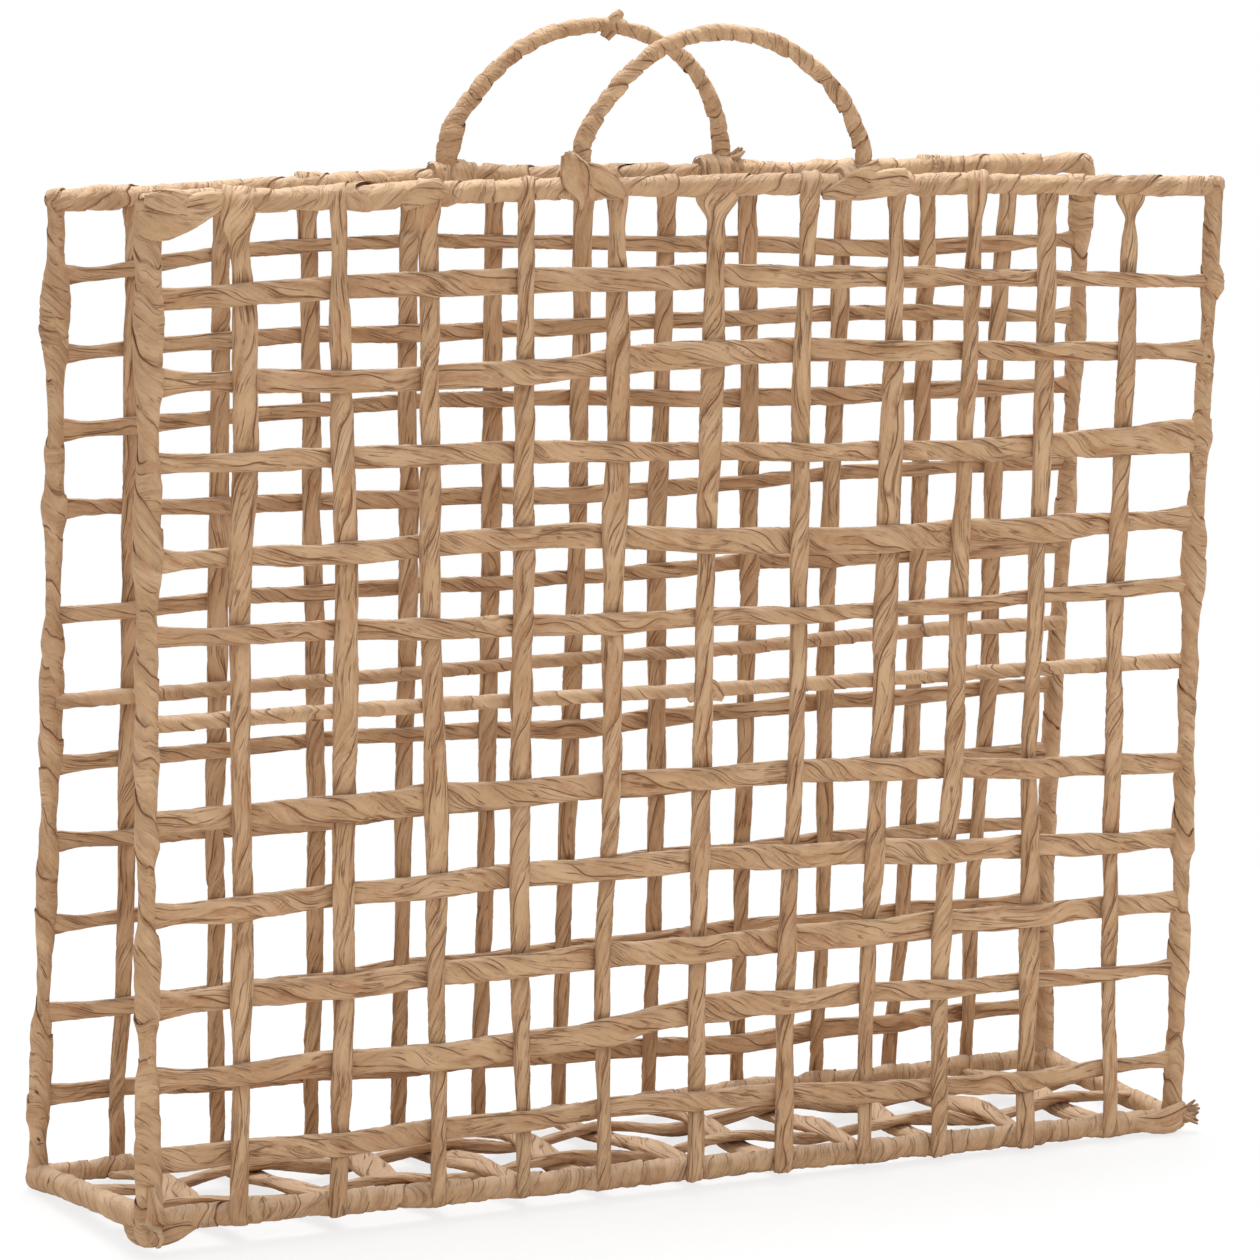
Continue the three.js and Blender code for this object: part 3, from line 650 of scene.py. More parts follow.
def cord(name, line, seed, flat_tilt=0.0, twist=0.12, slope=TWIST_SLOPE, relief=1.0, sway=0.12):
    """One strand of cord. Each point of the line is a place and a width, in millimetres."""
    rng = np.random.default_rng(seed)
    points = smooth_line(line, CORD_STEP)
    count = len(points)
    sizes = points[:, 3] / CORD_WIDTH * (1 + drift(rng, count, *WIDTH_DRIFT))
    tilts = flat_tilt + drift(rng, count, TILT_REACH, twist)
    places = points[:, :3] + np.stack([drift(rng, count, SWAY_REACH, sway) for _ in range(3)], axis=1)
    piece, grid, ring, round_share = tube(name, places, cord_outline, sizes, tilts, "Z_UP")
    mesh = piece.data

    # A wide stretch is pressed thinner, and a narrow one stays fuller.
    spots = coordinates(mesh)
    middle = spots[grid].mean(axis=1, keepdims=True)
    offset = spots[grid] - middle
    across = offset[:, :1] / np.linalg.norm(offset[:, :1], axis=2, keepdims=True)
    wide = (offset * across).sum(axis=2, keepdims=True) * across
    spots[grid] = middle + wide + (offset - wide) * sizes[:, None, None] ** FULLER_WHEN_NARROW
    set_coordinates(mesh, spots)

    # The folds climb round the strand, higher in some stretches and lower in others.
    slopes = slope * (1 + drift(rng, count, *SLOPE_DRIFT))
    lay = (np.cumsum(slopes) * CORD_STEP + rng.uniform(0, PERIMETER)) / PERIMETER
    shares = np.arange(OUTLINE_POINTS) / OUTLINE_POINTS
    wander = [drift(rng, count, WANDER_REACH, size) for size in LAP_WANDER]
    depth = rng.normal(0, ROUGHNESS, grid.shape)
    for (many, high), aside in zip(CORD_LAPS, wander):
        strength = high * np.clip(1 + drift(rng, count, *LAP_DRIFT), *LAP_LIMITS)
        depth += lap(many * (shares - lay[:, None]) + aside[:, None]) * strength[:, None]
    normals = read_all(mesh.vertices, "normal", 3)
    spots[grid] += normals[grid] * (depth * relief * MM)[..., None]
    set_coordinates(mesh, spots)
    # How deep each point lies in the folds is kept, so that the finish paints shade in the hollows and a
    # highlight on the ridges.
    fold = np.full(len(spots), 0.5)
    fold[grid] = 0.5 + depth / sum(high for _, high in CORD_LAPS)
    keep_fold(mesh, fold)

    round_share = round_share - lay[ring]
    add_map(mesh, "strand", np.c_[round_share * PERIMETER, ring * CORD_STEP + far_apart(seed)])
    folds = [many * round_share + aside[ring] for (many, _), aside in zip(CORD_LAPS, wander)]
    add_map(mesh, "laps", np.stack(folds, axis=1))
    return piece

# %% [markdown]
# ## Row cords
# Ten cords cross each panel, five above the thin bar and five below it. Each passes in front of one
# upright and behind the next, and spreads where it goes into the paper of the posts at both ends.

# %% Rows
FLARES = (0.95, 1.4)
FLARE_REACH = (3.5, 8.5)


def row_line(panel, row, flares):
    heights, widths = ROWS[panel][row], ROW_WIDTHS[panel][row]
    y = PANEL_DEPTH[panel]
    points = []
    for side, inward, flare in (("left", 1, flares[0]), ("right", -1, flares[1])):
        level = through(ROW_PLACES, heights, ROW_PLACES[-1] * -inward)
        x = post_x(panel, side, level)
        width = through(WIDTH_PLACES, widths, x)
        for reach, share in ((0, flare), (FLARE_REACH[0], flare), (FLARE_REACH[1], 1)):
            points.append((x + inward * reach, y, level, width * share))
    for column in range(len(COLUMNS[panel])):
        x = column_x(panel, column, through(ROW_PLACES, heights, 0))
        level = through(ROW_PLACES, heights, x)
        x = column_x(panel, column, level)
        width = through(WIDTH_PLACES, widths, x)
        points.append((x, y + weave_side(row, column) * WEAVE_LIFT, level, width))
    points.sort()
    line = np.array(points)
    between = (line[3:-3][1:] + line[3:-3][:-1]) / 2
    line = np.concatenate((line, between))
    line = line[np.argsort(line[:, 0])]
    line[:, 2] = through(ROW_PLACES, heights, line[:, 0])
    return line + (ACROSS_SHIFT, 0, RAIL_LOW, 0)


for panel, first_seed in (("front", 20), ("back", 40)):
    for row in range(len(ROWS[panel])):
        flares = np.random.default_rng(first_seed + row).uniform(*FLARES, 2)
        strand = cord(f"{panel}_row_{row + 1:02d}", row_line(panel, row, flares), first_seed + row)
        finish_piece(strand, "paper_cord", f"{panel}_row_cord_{row + 1:02d}")
print("rows done, triangles in one:", 2 * len(strand.data.polygons))

# %% [markdown]
# ## Upright cords
# Eleven cords each start at the front top rail, go down the front panel, over the outside of the
# bottom rail, across the floor and up the back panel. Some of them come over the top of the rail
# first. Such a line turns every way, and a curve keeps its flat side true only round an upright
# axis. So each strand is drawn lying down, with its drift across the panel as height, and is then
# stood up.

# %% Uprights
# A strand starts over the top rail or under it: places outward and up from the rail's middle.
OVER_RADIUS = TOP_RADIUS - 0.7
OVER_START = ((1 - OVER_RADIUS, 0), (0, OVER_RADIUS), (OVER_RADIUS, 1), (2.4, -TOP_RADIUS - 1.5))
UNDER_START = ((0, -1), (0, -TOP_RADIUS - 0.5))
NECK_BELOW, FULL_BELOW = 11, 18

# It goes round the bottom rail: how far round in degrees, and how proud of the rail.
HOOK_TURNS = ((0, 1.0), (35, 0.5), (72, -0.6), (108, -1.0))
FLOOR_WIDTH = 10.5
SIGHT_SLOPE = math.tan(CAMERA_YAW)


def panel_line(panel, column):
    """From the top rail down the panel and round the outside of the bottom rail."""
    y, out = PANEL_DEPTH[panel], OUTWARD[panel]
    place, widths = COLUMNS[panel][column], COLUMN_WIDTHS[panel][column]
    top = through(ROW_PLACES, TOP_RAILS[panel], place[0])
    foot = through(ROW_PLACES, BOTTOM_RAILS[panel], place[-1])
    starts = OVER_START if column in OVER_THE_RAIL[panel] else UNDER_START
    points = [(y + out * outward, top + up, TOP_SPREADS[panel][column]) for outward, up in starts]
    points += [(y, top - NECK_BELOW, TOP_NECKS[panel][column]), (y, top - FULL_BELOW, widths[0])]
    row = 0
    for heights in (*ROWS[panel][:ROWS_ABOVE_BAR], BARS[panel], *ROWS[panel][ROWS_ABOVE_BAR:]):
        level = through(ROW_PLACES, heights, column_x(panel, column, through(ROW_PLACES, heights, 0)))
        if heights is BARS[panel]:
            aside = out * WEAVE_LIFT
        else:
            aside = -weave_side(row, column) * WEAVE_LIFT
            row += 1
        points.append((y + aside, level, through(COLUMN_HEIGHTS, widths, level)))
    for degrees, proud in HOOK_TURNS:
        turned = math.radians(degrees)
        reach = LOW_RADIUS + proud
        points.append((y + out * math.cos(turned) * reach, foot - math.sin(turned) * reach, widths[-1]))
    # Places across were read as if the strand lay flat in its panel. What stands out of the panel is
    # moved along the camera's line of sight, so that it is still seen at the place that was read.
    return [(py, pz + RAIL_LOW, column_x(panel, column, pz) + SIGHT_SLOPE * (py - y), width)
            for py, pz, width in points]


def upright_line(column):
    down, up = panel_line("front", column), panel_line("back", column)[::-1]
    floor_points = []
    for line, y in enumerate(FLOOR_LINES):
        share = (y - PANEL_DEPTH["front"]) / (PANEL_DEPTH["back"] - PANEL_DEPTH["front"])
        x = (1 - share) * COLUMNS["front"][column][-1] + share * COLUMNS["back"][column][-1]
        floor_points.append((y, FLOOR_LEVEL + weave_side(line, column) * WEAVE_LIFT, x, FLOOR_WIDTH))
    return np.array([*down, *floor_points, *up]) + (0, 0, ACROSS_SHIFT, 0)


def stand_up(piece):
    """Turns what was drawn lying down, so that drawn height runs across the panel."""
    piece.rotation_euler = (math.pi / 2, 0, math.pi / 2)
    select_only(piece)
    bpy.ops.object.transform_apply(location=True, rotation=True, scale=True)


for column in range(len(COLUMNS["front"])):
    strand = cord(f"upright_{column + 1:02d}", upright_line(column), column + 1)
    stand_up(strand)
    finish_piece(strand, "paper_cord", f"upright_cord_{column + 1:02d}")
print("uprights done, triangles in one:", 2 * len(strand.data.polygons))

# %% [markdown]
# ## Floor cords
# Two more cords run the length of the floor, over one upright and under the next.

# %% Floor cords
FLOOR_REACH = 194
for line, y in enumerate(FLOOR_LINES):
    points = [(-FLOOR_REACH, y, FLOOR_LEVEL + 1, FLOOR_WIDTH)]
    for column in range(len(COLUMNS["front"])):
        x = (COLUMNS["front"][column][-1] + COLUMNS["back"][column][-1]) / 2
        points.append((x, y, FLOOR_LEVEL - weave_side(line, column) * WEAVE_LIFT, FLOOR_WIDTH))
    points.append((FLOOR_REACH, y, FLOOR_LEVEL + 1, FLOOR_WIDTH))
    strand = cord(f"floor_{line + 1:02d}", points, 70 + line, flat_tilt=1.15, twist=0.2, sway=0.5)
    finish_piece(strand, "paper_cord", f"floor_cord_{line + 1:02d}")

# %% [markdown]
# ## Wound paper
# The wires are wound with a strip of the same paper, and each turn laps over the last. The Screw
# modifier makes this directly: a short sloping edge turns round the wire and moves on by less than
# its own length. The turns are then pushed about, because no hand winds them evenly. Solidify gives
# the strip its thickness, and the Curve modifier lays the winding along the wire. Underneath lies a
# plain closed core, so that no gap shows through.

# %% Strip edge
STEPS_PER_TURN = 24
STRIP_THICKNESS = 0.4
STRIP_PLEATS = (1, 3)


def strip_edge(name, width, radius, ledge, cuts):
    """The edge that is turned into a winding: a short line over the X axis, drawn by extruding."""
    bpy.ops.mesh.primitive_plane_add(size=0.001, location=(0, 0, 0))
    piece = bpy.context.object
    piece.name = name
    bpy.ops.object.mode_set(mode="EDIT")
    bpy.ops.mesh.select_all(action="SELECT")
    bpy.ops.mesh.merge(type="CENTER")
    bpy.ops.transform.translate(value=(0, 0, (radius - ledge) * MM))
    move = (width / cuts * MM, 0, ledge / cuts * MM)
    for _ in range(cuts):
        bpy.ops.mesh.extrude_region_move(TRANSFORM_OT_translate={"value": move})
    bpy.ops.object.mode_set(mode="OBJECT")
    return piece

# %% Winding maker
LAP_OVER = 1.45

# What drifts along a winding: over how many steps, and by what share of the pitch or the radius.
TURN_SHIFT = (9, 0.13)
EDGE_WAVE = (5, 0.09)
EDGE_NICKS = (2, 0.03)
SWELL = (6, 0.025)
CROWN, CROWN_DRIFT = 0.35, (6, 0.4)
PLEAT_HEIGHT, PLEAT_DROP, PLEAT_WANDER = 0.3, 0.2, (8, 0.35)


def winding(name, length, radius, pitch, seed, ledge, hand, uneven):
    """A strip wound along X from 0 to length, with uneven turns and a wavy edge."""
    rng = np.random.default_rng(seed)
    piece = strip_edge(name, pitch * LAP_OVER, radius, ledge, 8 if pitch < 9 else 12)
    edge_count = len(piece.data.vertices)
    start_x = coordinates(piece.data)[:, 0]
    screw = piece.modifiers.new("turns", "SCREW")
    screw.axis = "X"
    screw.steps = screw.render_steps = STEPS_PER_TURN
    screw.iterations = int(length / pitch) + 4
    screw.screw_offset = pitch * MM
    screw.use_merge_vertices = False
    apply_modifier(piece, "turns")
    mesh = piece.data
    places = coordinates(mesh)
    step = np.arange(len(places)) // edge_count
    share = np.tile(start_x / start_x.max(), len(places) // edge_count)
    steps = step.max() + 1
    shift = drift(rng, steps, *TURN_SHIFT) * pitch * uneven
    wave = (drift(rng, steps, *EDGE_WAVE) * uneven + drift(rng, steps, *EDGE_NICKS)) * pitch
    places[:, 0] += (shift[step] + wave[step] * share - pitch * 2) * MM
    crown = ledge * CROWN * (1 + drift(rng, steps, *CROWN_DRIFT))
    swell = drift(rng, steps, *SWELL) * radius * uneven
    wander = drift(rng, steps, *PLEAT_WANDER)
    pleats = lap(share * STRIP_PLEATS[1] + wander[step], PLEAT_DROP) * PLEAT_HEIGHT
    rise = crown[step] * np.sin(math.pi * share) + swell[step] + pleats
    places[:, 1:] *= (1 + rise / radius)[:, None]
    set_coordinates(mesh, places)
    # This fold makes the finish paint shade towards both edges of each turn, where it meets the next, and a
    # highlight on its crown and pleats.
    keep_fold(mesh, 0.5 + pleats + 0.35 * (np.sin(math.pi * share) - 0.7))
    if not mesh.uv_layers:
        mesh.uv_layers.new(name="strand")
    mesh.uv_layers[0].name = "strand"
    corners = read_all(mesh.loops, "vertex_index", kind=int)
    across = share * pitch * LAP_OVER
    along = step * 2 * math.pi * radius / STEPS_PER_TURN + far_apart(seed)
    add_map(mesh, "strand", np.c_[across, along][corners])
    folds = [many * share + aside for many, aside in zip(STRIP_PLEATS, (0.0, wander[step]))]
    add_map(mesh, "laps", np.stack(folds, axis=1)[corners])
    bpy.ops.object.mode_set(mode="EDIT")
    for cut_x, side in ((0, -1), (length, 1)):
        bpy.ops.mesh.select_all(action="SELECT")
        bpy.ops.mesh.bisect(plane_co=(cut_x * MM, 0, 0), plane_no=(side, 0, 0), clear_outer=True)
    bpy.ops.mesh.select_all(action="SELECT")
    bpy.ops.mesh.normals_make_consistent(inside=False)
    bpy.ops.object.mode_set(mode="OBJECT")
    if hand < 0:
        set_coordinates(mesh, coordinates(mesh) * (1, -1, 1))
        bpy.ops.object.mode_set(mode="EDIT")
        bpy.ops.mesh.flip_normals()
        bpy.ops.object.mode_set(mode="OBJECT")
    wall = piece.modifiers.new("wall", "SOLIDIFY")
    wall.thickness = STRIP_THICKNESS * MM
    wall.offset = -1
    apply_modifier(piece, "wall")
    return piece


def lay_along(piece, points):
    """Bends a piece that lies on the X axis along a line."""
    path = curve_object("way", points * MM)
    path.data.twist_mode = "MINIMUM"
    bend = piece.modifiers.new("way", "CURVE")
    bend.object = path
    bend.deform_axis = "POS_X"
    apply_modifier(piece, "way")
    bpy.data.objects.remove(path)

# %% Core and strip together
WIRE_STEP = 2.0
CORE_DEPTH = 0.75
CORE_FOLD = 0.4


def wound(name, line, thickness, pitch, seed, ledge=0.9, hand=1, lumps=0.9, uneven=1.0):
    """A wire's paper. thickness pairs a place along the wire with how thick the paper is there."""
    points = smooth_line(np.array(line) + (ACROSS_SHIFT, 0, RAIL_LOW), WIRE_STEP)
    length = run_length(points)[-1]
    places_along, widths = np.array(thickness, float).T
    radius = widths.max() / 2
    strip = winding(name, length, radius, pitch, seed, ledge, hand, uneven)
    spots = coordinates(strip.data)
    spots[:, 1:] *= (np.interp(spots[:, 0] / MM, places_along, widths) / 2 / radius)[:, None]
    set_coordinates(strip.data, spots)
    lay_along(strip, points)
    core_sizes = np.interp(np.linspace(0, length, len(points)), places_along, widths) / 2
    core_sizes *= 1 - ledge * CORE_DEPTH / radius
    level = np.zeros(len(points))
    core, _, ring, round_share = tube("core", points, round_outline, core_sizes, level, "MINIMUM")
    across, along = round_share * 2 * math.pi * radius, ring * WIRE_STEP + far_apart(seed)
    add_map(core.data, "strand", np.c_[across, along])
    add_map(core.data, "laps", np.full((len(ring), 2), 0.5))
    # The core is kept a little into the hollows, so the finish paints it slightly darker as shade between
    # the turns.
    keep_fold(core.data, np.full(len(core.data.vertices), CORE_FOLD))
    piece = join([strip, core])
    add_lumps(piece, lumps)
    return piece

# %% [markdown]
# ## Posts and rails
# The four posts carry the widest strip, laid steeply, and end in a rounded foot. Their paper is
# thicker where a row goes in. The rails are wound with more and shorter turns, and are lumpy where
# an upright hangs from them.

# %% Posts
CORNER_REACH = 3.4
FEET = {("front", "left"): 3.2, ("front", "right"): 0.8, ("back", "left"): 0.5, ("back", "right"): 0.5}
END_REACH = 2.5
ROUND_END = ((0.0, 0.45), (0.7, 0.72), (1.8, 0.93))
FULL_POST = 8.0
POST_CONTRAST = 1.35
POST_STEP = 18.0


def with_round_ends(thickness, length):
    """Lets the paper close in over the last two millimetres at both ends of a wire."""
    places, widths = np.array(thickness, float).T
    table = [(p, w) for p, w in zip(places, widths) if END_REACH < p < length - END_REACH]
    for near, share in ROUND_END:
        for place in (near, length - near):
            table.append((place, np.interp(place, places, widths) * share))
    return sorted(table)


def post_line(panel, side, heights):
    return np.array([(post_x(panel, side, z), PANEL_DEPTH[panel], z) for z in heights])


for (panel, side), seed in zip(POSTS, (101, 102, 103, 104)):
    low = FEET[panel, side] - RAIL_LOW
    high = TOP_RAILS[panel][0 if side == "left" else -1] + CORNER_REACH
    line = post_line(panel, side, np.append(np.arange(low, high, POST_STEP), high))
    thickness = [(z - low, FULL_POST + (width - FULL_POST) * POST_CONTRAST)
                 for z, width in POST_THICKNESS[panel, side]]
    thickness = with_round_ends(thickness, high - low)
    post = wound(f"{panel}_{side}_post", line, thickness, 16, seed, ledge=0.95, hand=-1, lumps=1.0)
    finish_piece(post, "paper_wrap", f"{panel}_{side}_post_wrap")

# %% Rails
TOP_THICKNESS = {
    "front": (
        (-200, 8.2), (-160, 8.2), (-148, 7.6), (-136, 8.4), (-124, 10.4), (-112, 9), (-104, 9.2),
        (-92, 7.7), (-60, 7.8), (-26, 6.9), (0, 7.6), (36, 7.5), (50, 8), (70, 8.6), (92, 8), (110, 7.6),
        (140, 7), (160, 7.3), (190, 7.4), (201, 7.6),
    ),
    "back": (
        (-198, 8), (-180, 9), (-165, 7.8), (-120, 7.6), (-60, 8), (0, 7.6), (60, 7.6), (82, 7.4), (89, 9.4),
        (97, 7.6), (133, 7.4), (141, 9.4), (149, 7.6), (164, 9), (180, 7.6), (195, 9), (203, 8),
    ),
}
RAIL_SHARE = 0.88
BOTTOM_THICKNESS = {"front": 7.1, "back": 6.3}
BAR_THICKNESS = ((0, 4.6), (60, 4.3), (200, 4.0), (392, 4.6))
SIDE_THICKNESS = ((0, 8.6), (20, 7.6), (66, 7.6), (86, 8.4))
LUMP_REACH = (3.0, 7.5)
LUMP_GROWTH = 0.16


def rail_line(panel, heights, reach=0.0):
    ends = (post_x(panel, "left", heights[0]) - reach, post_x(panel, "right", heights[-1]) + reach)
    across = np.linspace(*ends, 14)
    return np.array([(x, PANEL_DEPTH[panel], through(ROW_PLACES, heights, x)) for x in across])


def bar_line(panel):
    """A bar lies a little inside its panel."""
    return rail_line(panel, BARS[panel]) - (0, OUTWARD[panel] * BAR_INSET, 0)


def lumpy(line, usual, places, seed):
    """A thickness table for a rail: usual, and more at each place where a cord hangs from it."""
    rng = np.random.default_rng(seed)
    start = line[0][0]
    near, far = LUMP_REACH
    table = [(0.0, usual), (line[-1][0] - start, usual * 0.92)]
    for x in places:
        more = usual * (1 + rng.uniform(0.2, 1.0) * LUMP_GROWTH)
        less = usual * rng.uniform(0.90, 1.02)
        table += [(x - far - start, less), (x - near - start, more), (x + near - start, more * 0.98)]
    return sorted(table)


for index, panel in enumerate(("front", "back")):
    line = rail_line(panel, TOP_RAILS[panel], CORNER_REACH)
    thickness = [(x - line[0][0], width * RAIL_SHARE) for x, width in TOP_THICKNESS[panel]]
    thickness = with_round_ends(thickness, line[-1][0] - line[0][0])
    top = wound(f"{panel}_top_rail", line, thickness, 13, 111 + index, ledge=1.3, hand=-1, uneven=1.5,
                lumps=1.5)
    finish_piece(top, "paper_wrap", f"{panel}_top_rail_wrap")
    line = rail_line(panel, BOTTOM_RAILS[panel], 1.0)
    hung = [column[-1] for column in COLUMNS[panel]]
    thickness = lumpy(line, BOTTOM_THICKNESS[panel], hung, 143 + index)
    low = wound(f"{panel}_bottom_rail", line, thickness, 8, 113 + index, ledge=0.9, hand=-1, uneven=1.2,
                lumps=1.2)
    finish_piece(low, "paper_wrap", f"{panel}_bottom_rail_wrap")
    bar = wound(f"{panel}_bar", bar_line(panel), BAR_THICKNESS, 17, 115 + index, ledge=0.4, lumps=0.6)
    finish_piece(bar, "paper_wrap", f"{panel}_bar_wrap")
for index, side in enumerate(("left", "right")):
    place = 0 if side == "left" else -1
    ends = [(post_x(p, side, 10), PANEL_DEPTH[p], BOTTOM_RAILS[p][place]) for p in ("front", "back")]
    line = [np.array(ends[0]) * (1 - t) + np.array(ends[1]) * t for t in (0, 0.25, 0.5, 0.75, 1)]
    rail = wound(f"{side}_side_rail", line, SIDE_THICKNESS, 15, 117 + index)
    finish_piece(rail, "paper_wrap", f"{side}_side_rail_wrap")

# %% [markdown]
# ## Handles
# Each handle is a thicker wire bent to an arch and wound in the same way. Its feet stand on the top
# rail, and are lashed to it with four turns of strip. The back handle leans a little, as in the
# photograph.

# %% Handles and lashings
HANDLES = {
    "front": ((-48, 330), (-47.5, 344), (-41.5, 355), (-35, 363), (-26.5, 370.5), (-17, 376), (-6.5, 379),
              (4.7, 380), (16, 378.5), (26.5, 375), (35.8, 369.5), (44, 362.5), (50.5, 354.5), (55.3, 345),
              (57.5, 330)),
    "back": ((-55.3, 329), (-54.8, 336), (-52, 346.5), (-45, 356), (-37, 364.2), (-27, 371.7),
             (-16, 376.5), (-3.5, 378.8), (8.5, 378.6), (19, 376), (28, 372), (37, 365.3), (44, 356),
             (47.8, 347.5), (50, 337), (50.3, 330)),
}
HANDLE_THICKNESS = {
    "front": ((0, 7), (12, 6.6), (25, 5.9), (80, 5.4), (130, 5.6), (150, 6.3), (165, 7)),
    "back": ((0, 8.4), (15, 8.2), (20, 6.6), (35, 5.8), (80, 5.4), (130, 5.6), (150, 6.3), (165, 7)),
}
TIE_THICKNESS = ((0, 9), (3, 10.6), (8, 11.4), (13, 10.6), (16, 9))
TIE_LIFT = 1.2


def handle_line(panel):
    return [(x, PANEL_DEPTH[panel], z) for x, z in HANDLES[panel]]


for index, panel in enumerate(("front", "back")):
    handle = wound(f"{panel}_handle", handle_line(panel), HANDLE_THICKNESS[panel], 6.5, 121 + index,
                   ledge=1.3, uneven=1.3)
    finish_piece(handle, "paper_wrap", f"{panel}_handle_wrap")
    for side in ("left", "right"):
        node = f"{panel}_handle_{side}_lashing"
        low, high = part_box(node)
        middle = (low.x + high.x) / 2 / MM - ACROSS_SHIFT
        rail_z = through(ROW_PLACES, TOP_RAILS[panel], middle)
        line = [(middle + x, PANEL_DEPTH[panel], rail_z + TIE_LIFT) for x in (-8, 0, 8)]
        seed = 131 + 2 * index + (side == "right")
        tie = wound(node, line, TIE_THICKNESS, 3.8, seed, ledge=1.0, uneven=1.3)
        finish_piece(tie, "paper_wrap", node)

# %% [markdown]
# ## Wires inside the paper
# The paper follows the uneven lines of the photograph, so the steel inside it has to follow them too,
# or it would show where a rail sags. Each wire keeps the thickness of the CAD wire, and turns a
# corner in a small round.

# %% Wires
CORNER_ROUND = 3.0


def wire_along(node, line, like=None):
    """The wire of one node. `like` names the node that the thickness is read from, across Y."""
    low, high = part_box(like or node)
    points = smooth_line(np.array(line) + (ACROSS_SHIFT, 0, RAIL_LOW), WIRE_STEP)
    sizes = np.full(len(points), (high.y - low.y) / 2 / MM)
    wire = tube(node, points, round_outline, sizes, np.zeros(len(points)), "MINIMUM")[0]
    finish_piece(wire, "steel_wire", node)
    print(node, "radius in mm:", round(sizes[0], 2))


def keep_corners(line):
    """Puts points close together on a line, so that smoothing it rounds its corners and no more."""
    line = np.array(line)
    along = run_length(line)
    even = np.linspace(0, along[-1], int(along[-1] / CORNER_ROUND))
    return np.stack([np.interp(even, along, column) for column in line.T], axis=1)


lower = {}
for panel in ("front", "back"):
    rail = rail_line(panel, TOP_RAILS[panel], -CORNER_ROUND)
    lower[panel] = rail_line(panel, BOTTOM_RAILS[panel], -CORNER_ROUND)
    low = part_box(f"{panel}_hoop_wire")[0].z / MM - RAIL_LOW
    legs = [post_line(panel, side, np.linspace(low, top - CORNER_ROUND, 14))
            for side, top in (("left", rail[0][2]), ("right", rail[-1][2]))]
    wire_along(f"{panel}_hoop_wire", keep_corners([*legs[0], *rail, *legs[1][::-1]]))
    wire_along(f"{panel}_handle_wire", handle_line(panel))
    wire_along(f"{panel}_bar_wire", bar_line(panel))
side_legs = []
for side, place in (("left", 0), ("right", -1)):
    near, far = [np.array((post_x(p, side, 3), PANEL_DEPTH[p], BOTTOM_RAILS[p][place]))
                 for p in ("front", "back")]
    trim = CORNER_ROUND / np.linalg.norm(far - near)
    side_legs.append([near * (1 - t) + far * t for t in np.linspace(trim, 1 - trim, 5)])
around = [*lower["front"], *side_legs[1], *lower["back"][::-1], *side_legs[0][::-1], lower["front"][0]]
wire_along("base_ring_wire", keep_corners(around), like="front_hoop_wire")

# %% [markdown]
# ## Knots, folds and loose ends
# A hand-made basket has places where the weaver tucked an end in: a broad fold over a corner, a leaf
# of paper over a handle's foot, a knot with a tail. Each is a short strand of the same cord, with a
# line and a width of its own, laid over the pieces that it ties.

# %% Folds over the corners and the handles' feet
FOLDS = {
    "front_left_corner": (
        ((-200.5, -44.5, 322.5, 6), (-198.5, -47, 321, 9), (-194, -48.2, 320.6, 10),
         (-188, -48, 322.8, 10), (-181.5, -47.4, 325.7, 9), (-173.5, -46, 328, 5)),
        ((-199, -46.5, 327.6, 5), (-195.5, -48.4, 327.8, 7), (-190.5, -48.8, 327.6, 8),
         (-184.5, -47.6, 327.2, 6)),
    ),
    "front_third_fold": (
        ((-112, -45.5, 325.5, 4), (-107.5, -47.6, 328.6, 7), (-102, -48, 330.4, 7.5), (-97, -46, 330, 4)),
    ),
    "front_left_foot": (
        ((-196.5, -30, 1.6, 6), (-198, -38, 0.2, 8), (-196, -43.6, -0.5, 8.4), (-188.5, -45.6, -0.2, 8),
         (-179, -45, 2.2, 5)),
        ((-195.4, -45.5, 15, 7), (-194.8, -47.9, 9, 9.6), (-194.2, -48.7, 3, 10.4),
         (-194.4, -47, -1.8, 8.6)),
    ),
    "front_right_foot": (
        ((178, -45.5, -3, 5), (186, -47.2, -3, 8), (193, -48, -1.4, 10), (198.5, -45.5, 0.3, 7)),
    ),
    "front_left_handle_leaf": (
        ((-54, -44.5, 341, 4), (-53.2, -46.5, 337.8, 8), (-51.5, -47.6, 333, 10.5),
         (-50.2, -47.4, 328.5, 8), (-49, -45.5, 324.6, 5)),
        ((-48.6, -46, 336.2, 5), (-44.2, -47.8, 333.6, 8), (-38.7, -47.8, 330.6, 8), (-34.3, -46, 328, 4)),
    ),
    "front_right_handle_fold": (
        ((40.2, -45.5, 326.8, 3), (47.3, -47.6, 328.9, 7), (54.8, -48, 332.6, 8), (61.2, -46, 336.5, 5)),
        ((44.7, -46, 326.5, 3), (53.8, -47.8, 328.7, 7), (62.9, -48.2, 331, 8.5), (71.3, -46.8, 332.3, 7)),
    ),
    "back_handle_tab": (
        ((3.5, 43, 375, 4), (6.5, 42, 380, 6), (9.5, 43, 383.5, 3)),
    ),
    "front_bar_web": (
        ((-4, -43, 160.5, 3), (2.5, -43.6, 163.5, 8), (9, -43, 160.5, 3)),
    ),
}
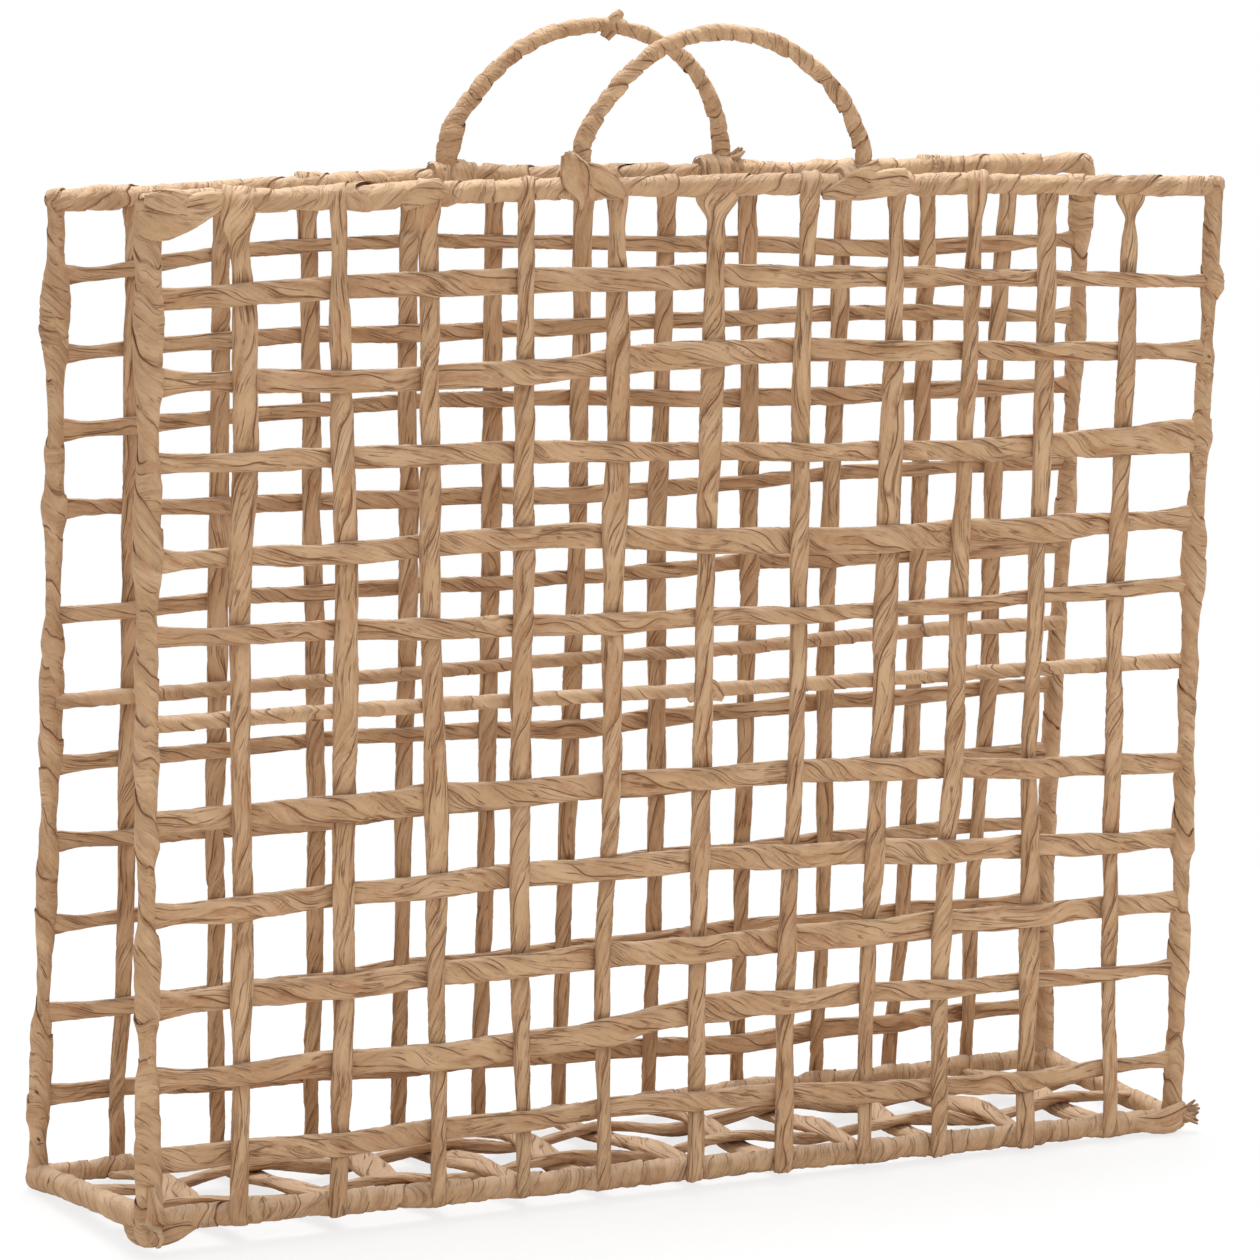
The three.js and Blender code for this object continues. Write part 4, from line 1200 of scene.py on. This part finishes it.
for seed, (name, folds) in enumerate(FOLDS.items(), start=200):
    pieces = []
    for number, line in enumerate(folds):
        line = np.array(line) + (ACROSS_SHIFT, 0, RAIL_LOW, 0)
        pieces.append(cord(f"{name}_{number}", line, seed * 5 + number, slope=0.22, relief=1.2, sway=0.05))
    fold = join(pieces)
    fold.name = name
    finish_piece(fold, "paper_wrap")

# %% Knots on the posts
KNOTS = {
    "front_right_knot": ("front", "right", 289, 301, 8.6, 1.2),
    "front_left_knot": ("front", "left", 285, 302, 9.6, 0.4),
    "back_left_knot": ("back", "left", 272, 292, 9.8, -0.8),
    "back_right_knot": ("back", "right", 302, 324, 9.6, 0),
}
for seed, (name, (panel, side, low, high, thick, aside)) in enumerate(KNOTS.items(), start=151):
    line = post_line(panel, side, np.linspace(low, high, 4)) + (aside, 0, 0)
    length = high - low
    thickness = ((0, thick - 4), (length * 0.3, thick), (length * 0.7, thick - 0.4), (length, thick - 4))
    knot = wound(name, line, thickness, 7, seed, ledge=0.9, hand=-1, lumps=1.2)
    finish_piece(knot, "paper_wrap")

# %% Frayed ends
TUFTS = {
    "front_right_foot_tuft": ((198.5, -45.5, -1.5), (4, -1, 1), 14, 2.4),
    "back_handle_fray": ((53, 41, 333), (3, -1, 1.5), 7, 2.4),
}
for seed, (name, (root, way, many, spread)) in enumerate(TUFTS.items(), start=300):
    rng = np.random.default_rng(seed)
    ends = []
    for number in range(many):
        tip = np.array(root) + way + rng.normal(0, spread, 3) * (0.4, 0.5, 1)
        start = np.array(root) - np.array(way) * 0.4 + rng.normal(0, spread * 0.4, 3)
        bend = (tip + start) / 2 + rng.normal(0, 0.8, 3)
        line = np.array([(*start, 2.4), (*bend, 1.8), (*tip, 0.8)]) + (ACROSS_SHIFT, 0, RAIL_LOW, 0)
        ends.append(cord(f"{name}_{number}", line, seed * 20 + number, relief=0.3, sway=0.1))
    tuft = join(ends)
    tuft.name = name
    finish_piece(tuft, "paper_wrap", look=cord_paper)
for outline in (cord_outline, round_outline):
    bpy.data.objects.remove(outline)
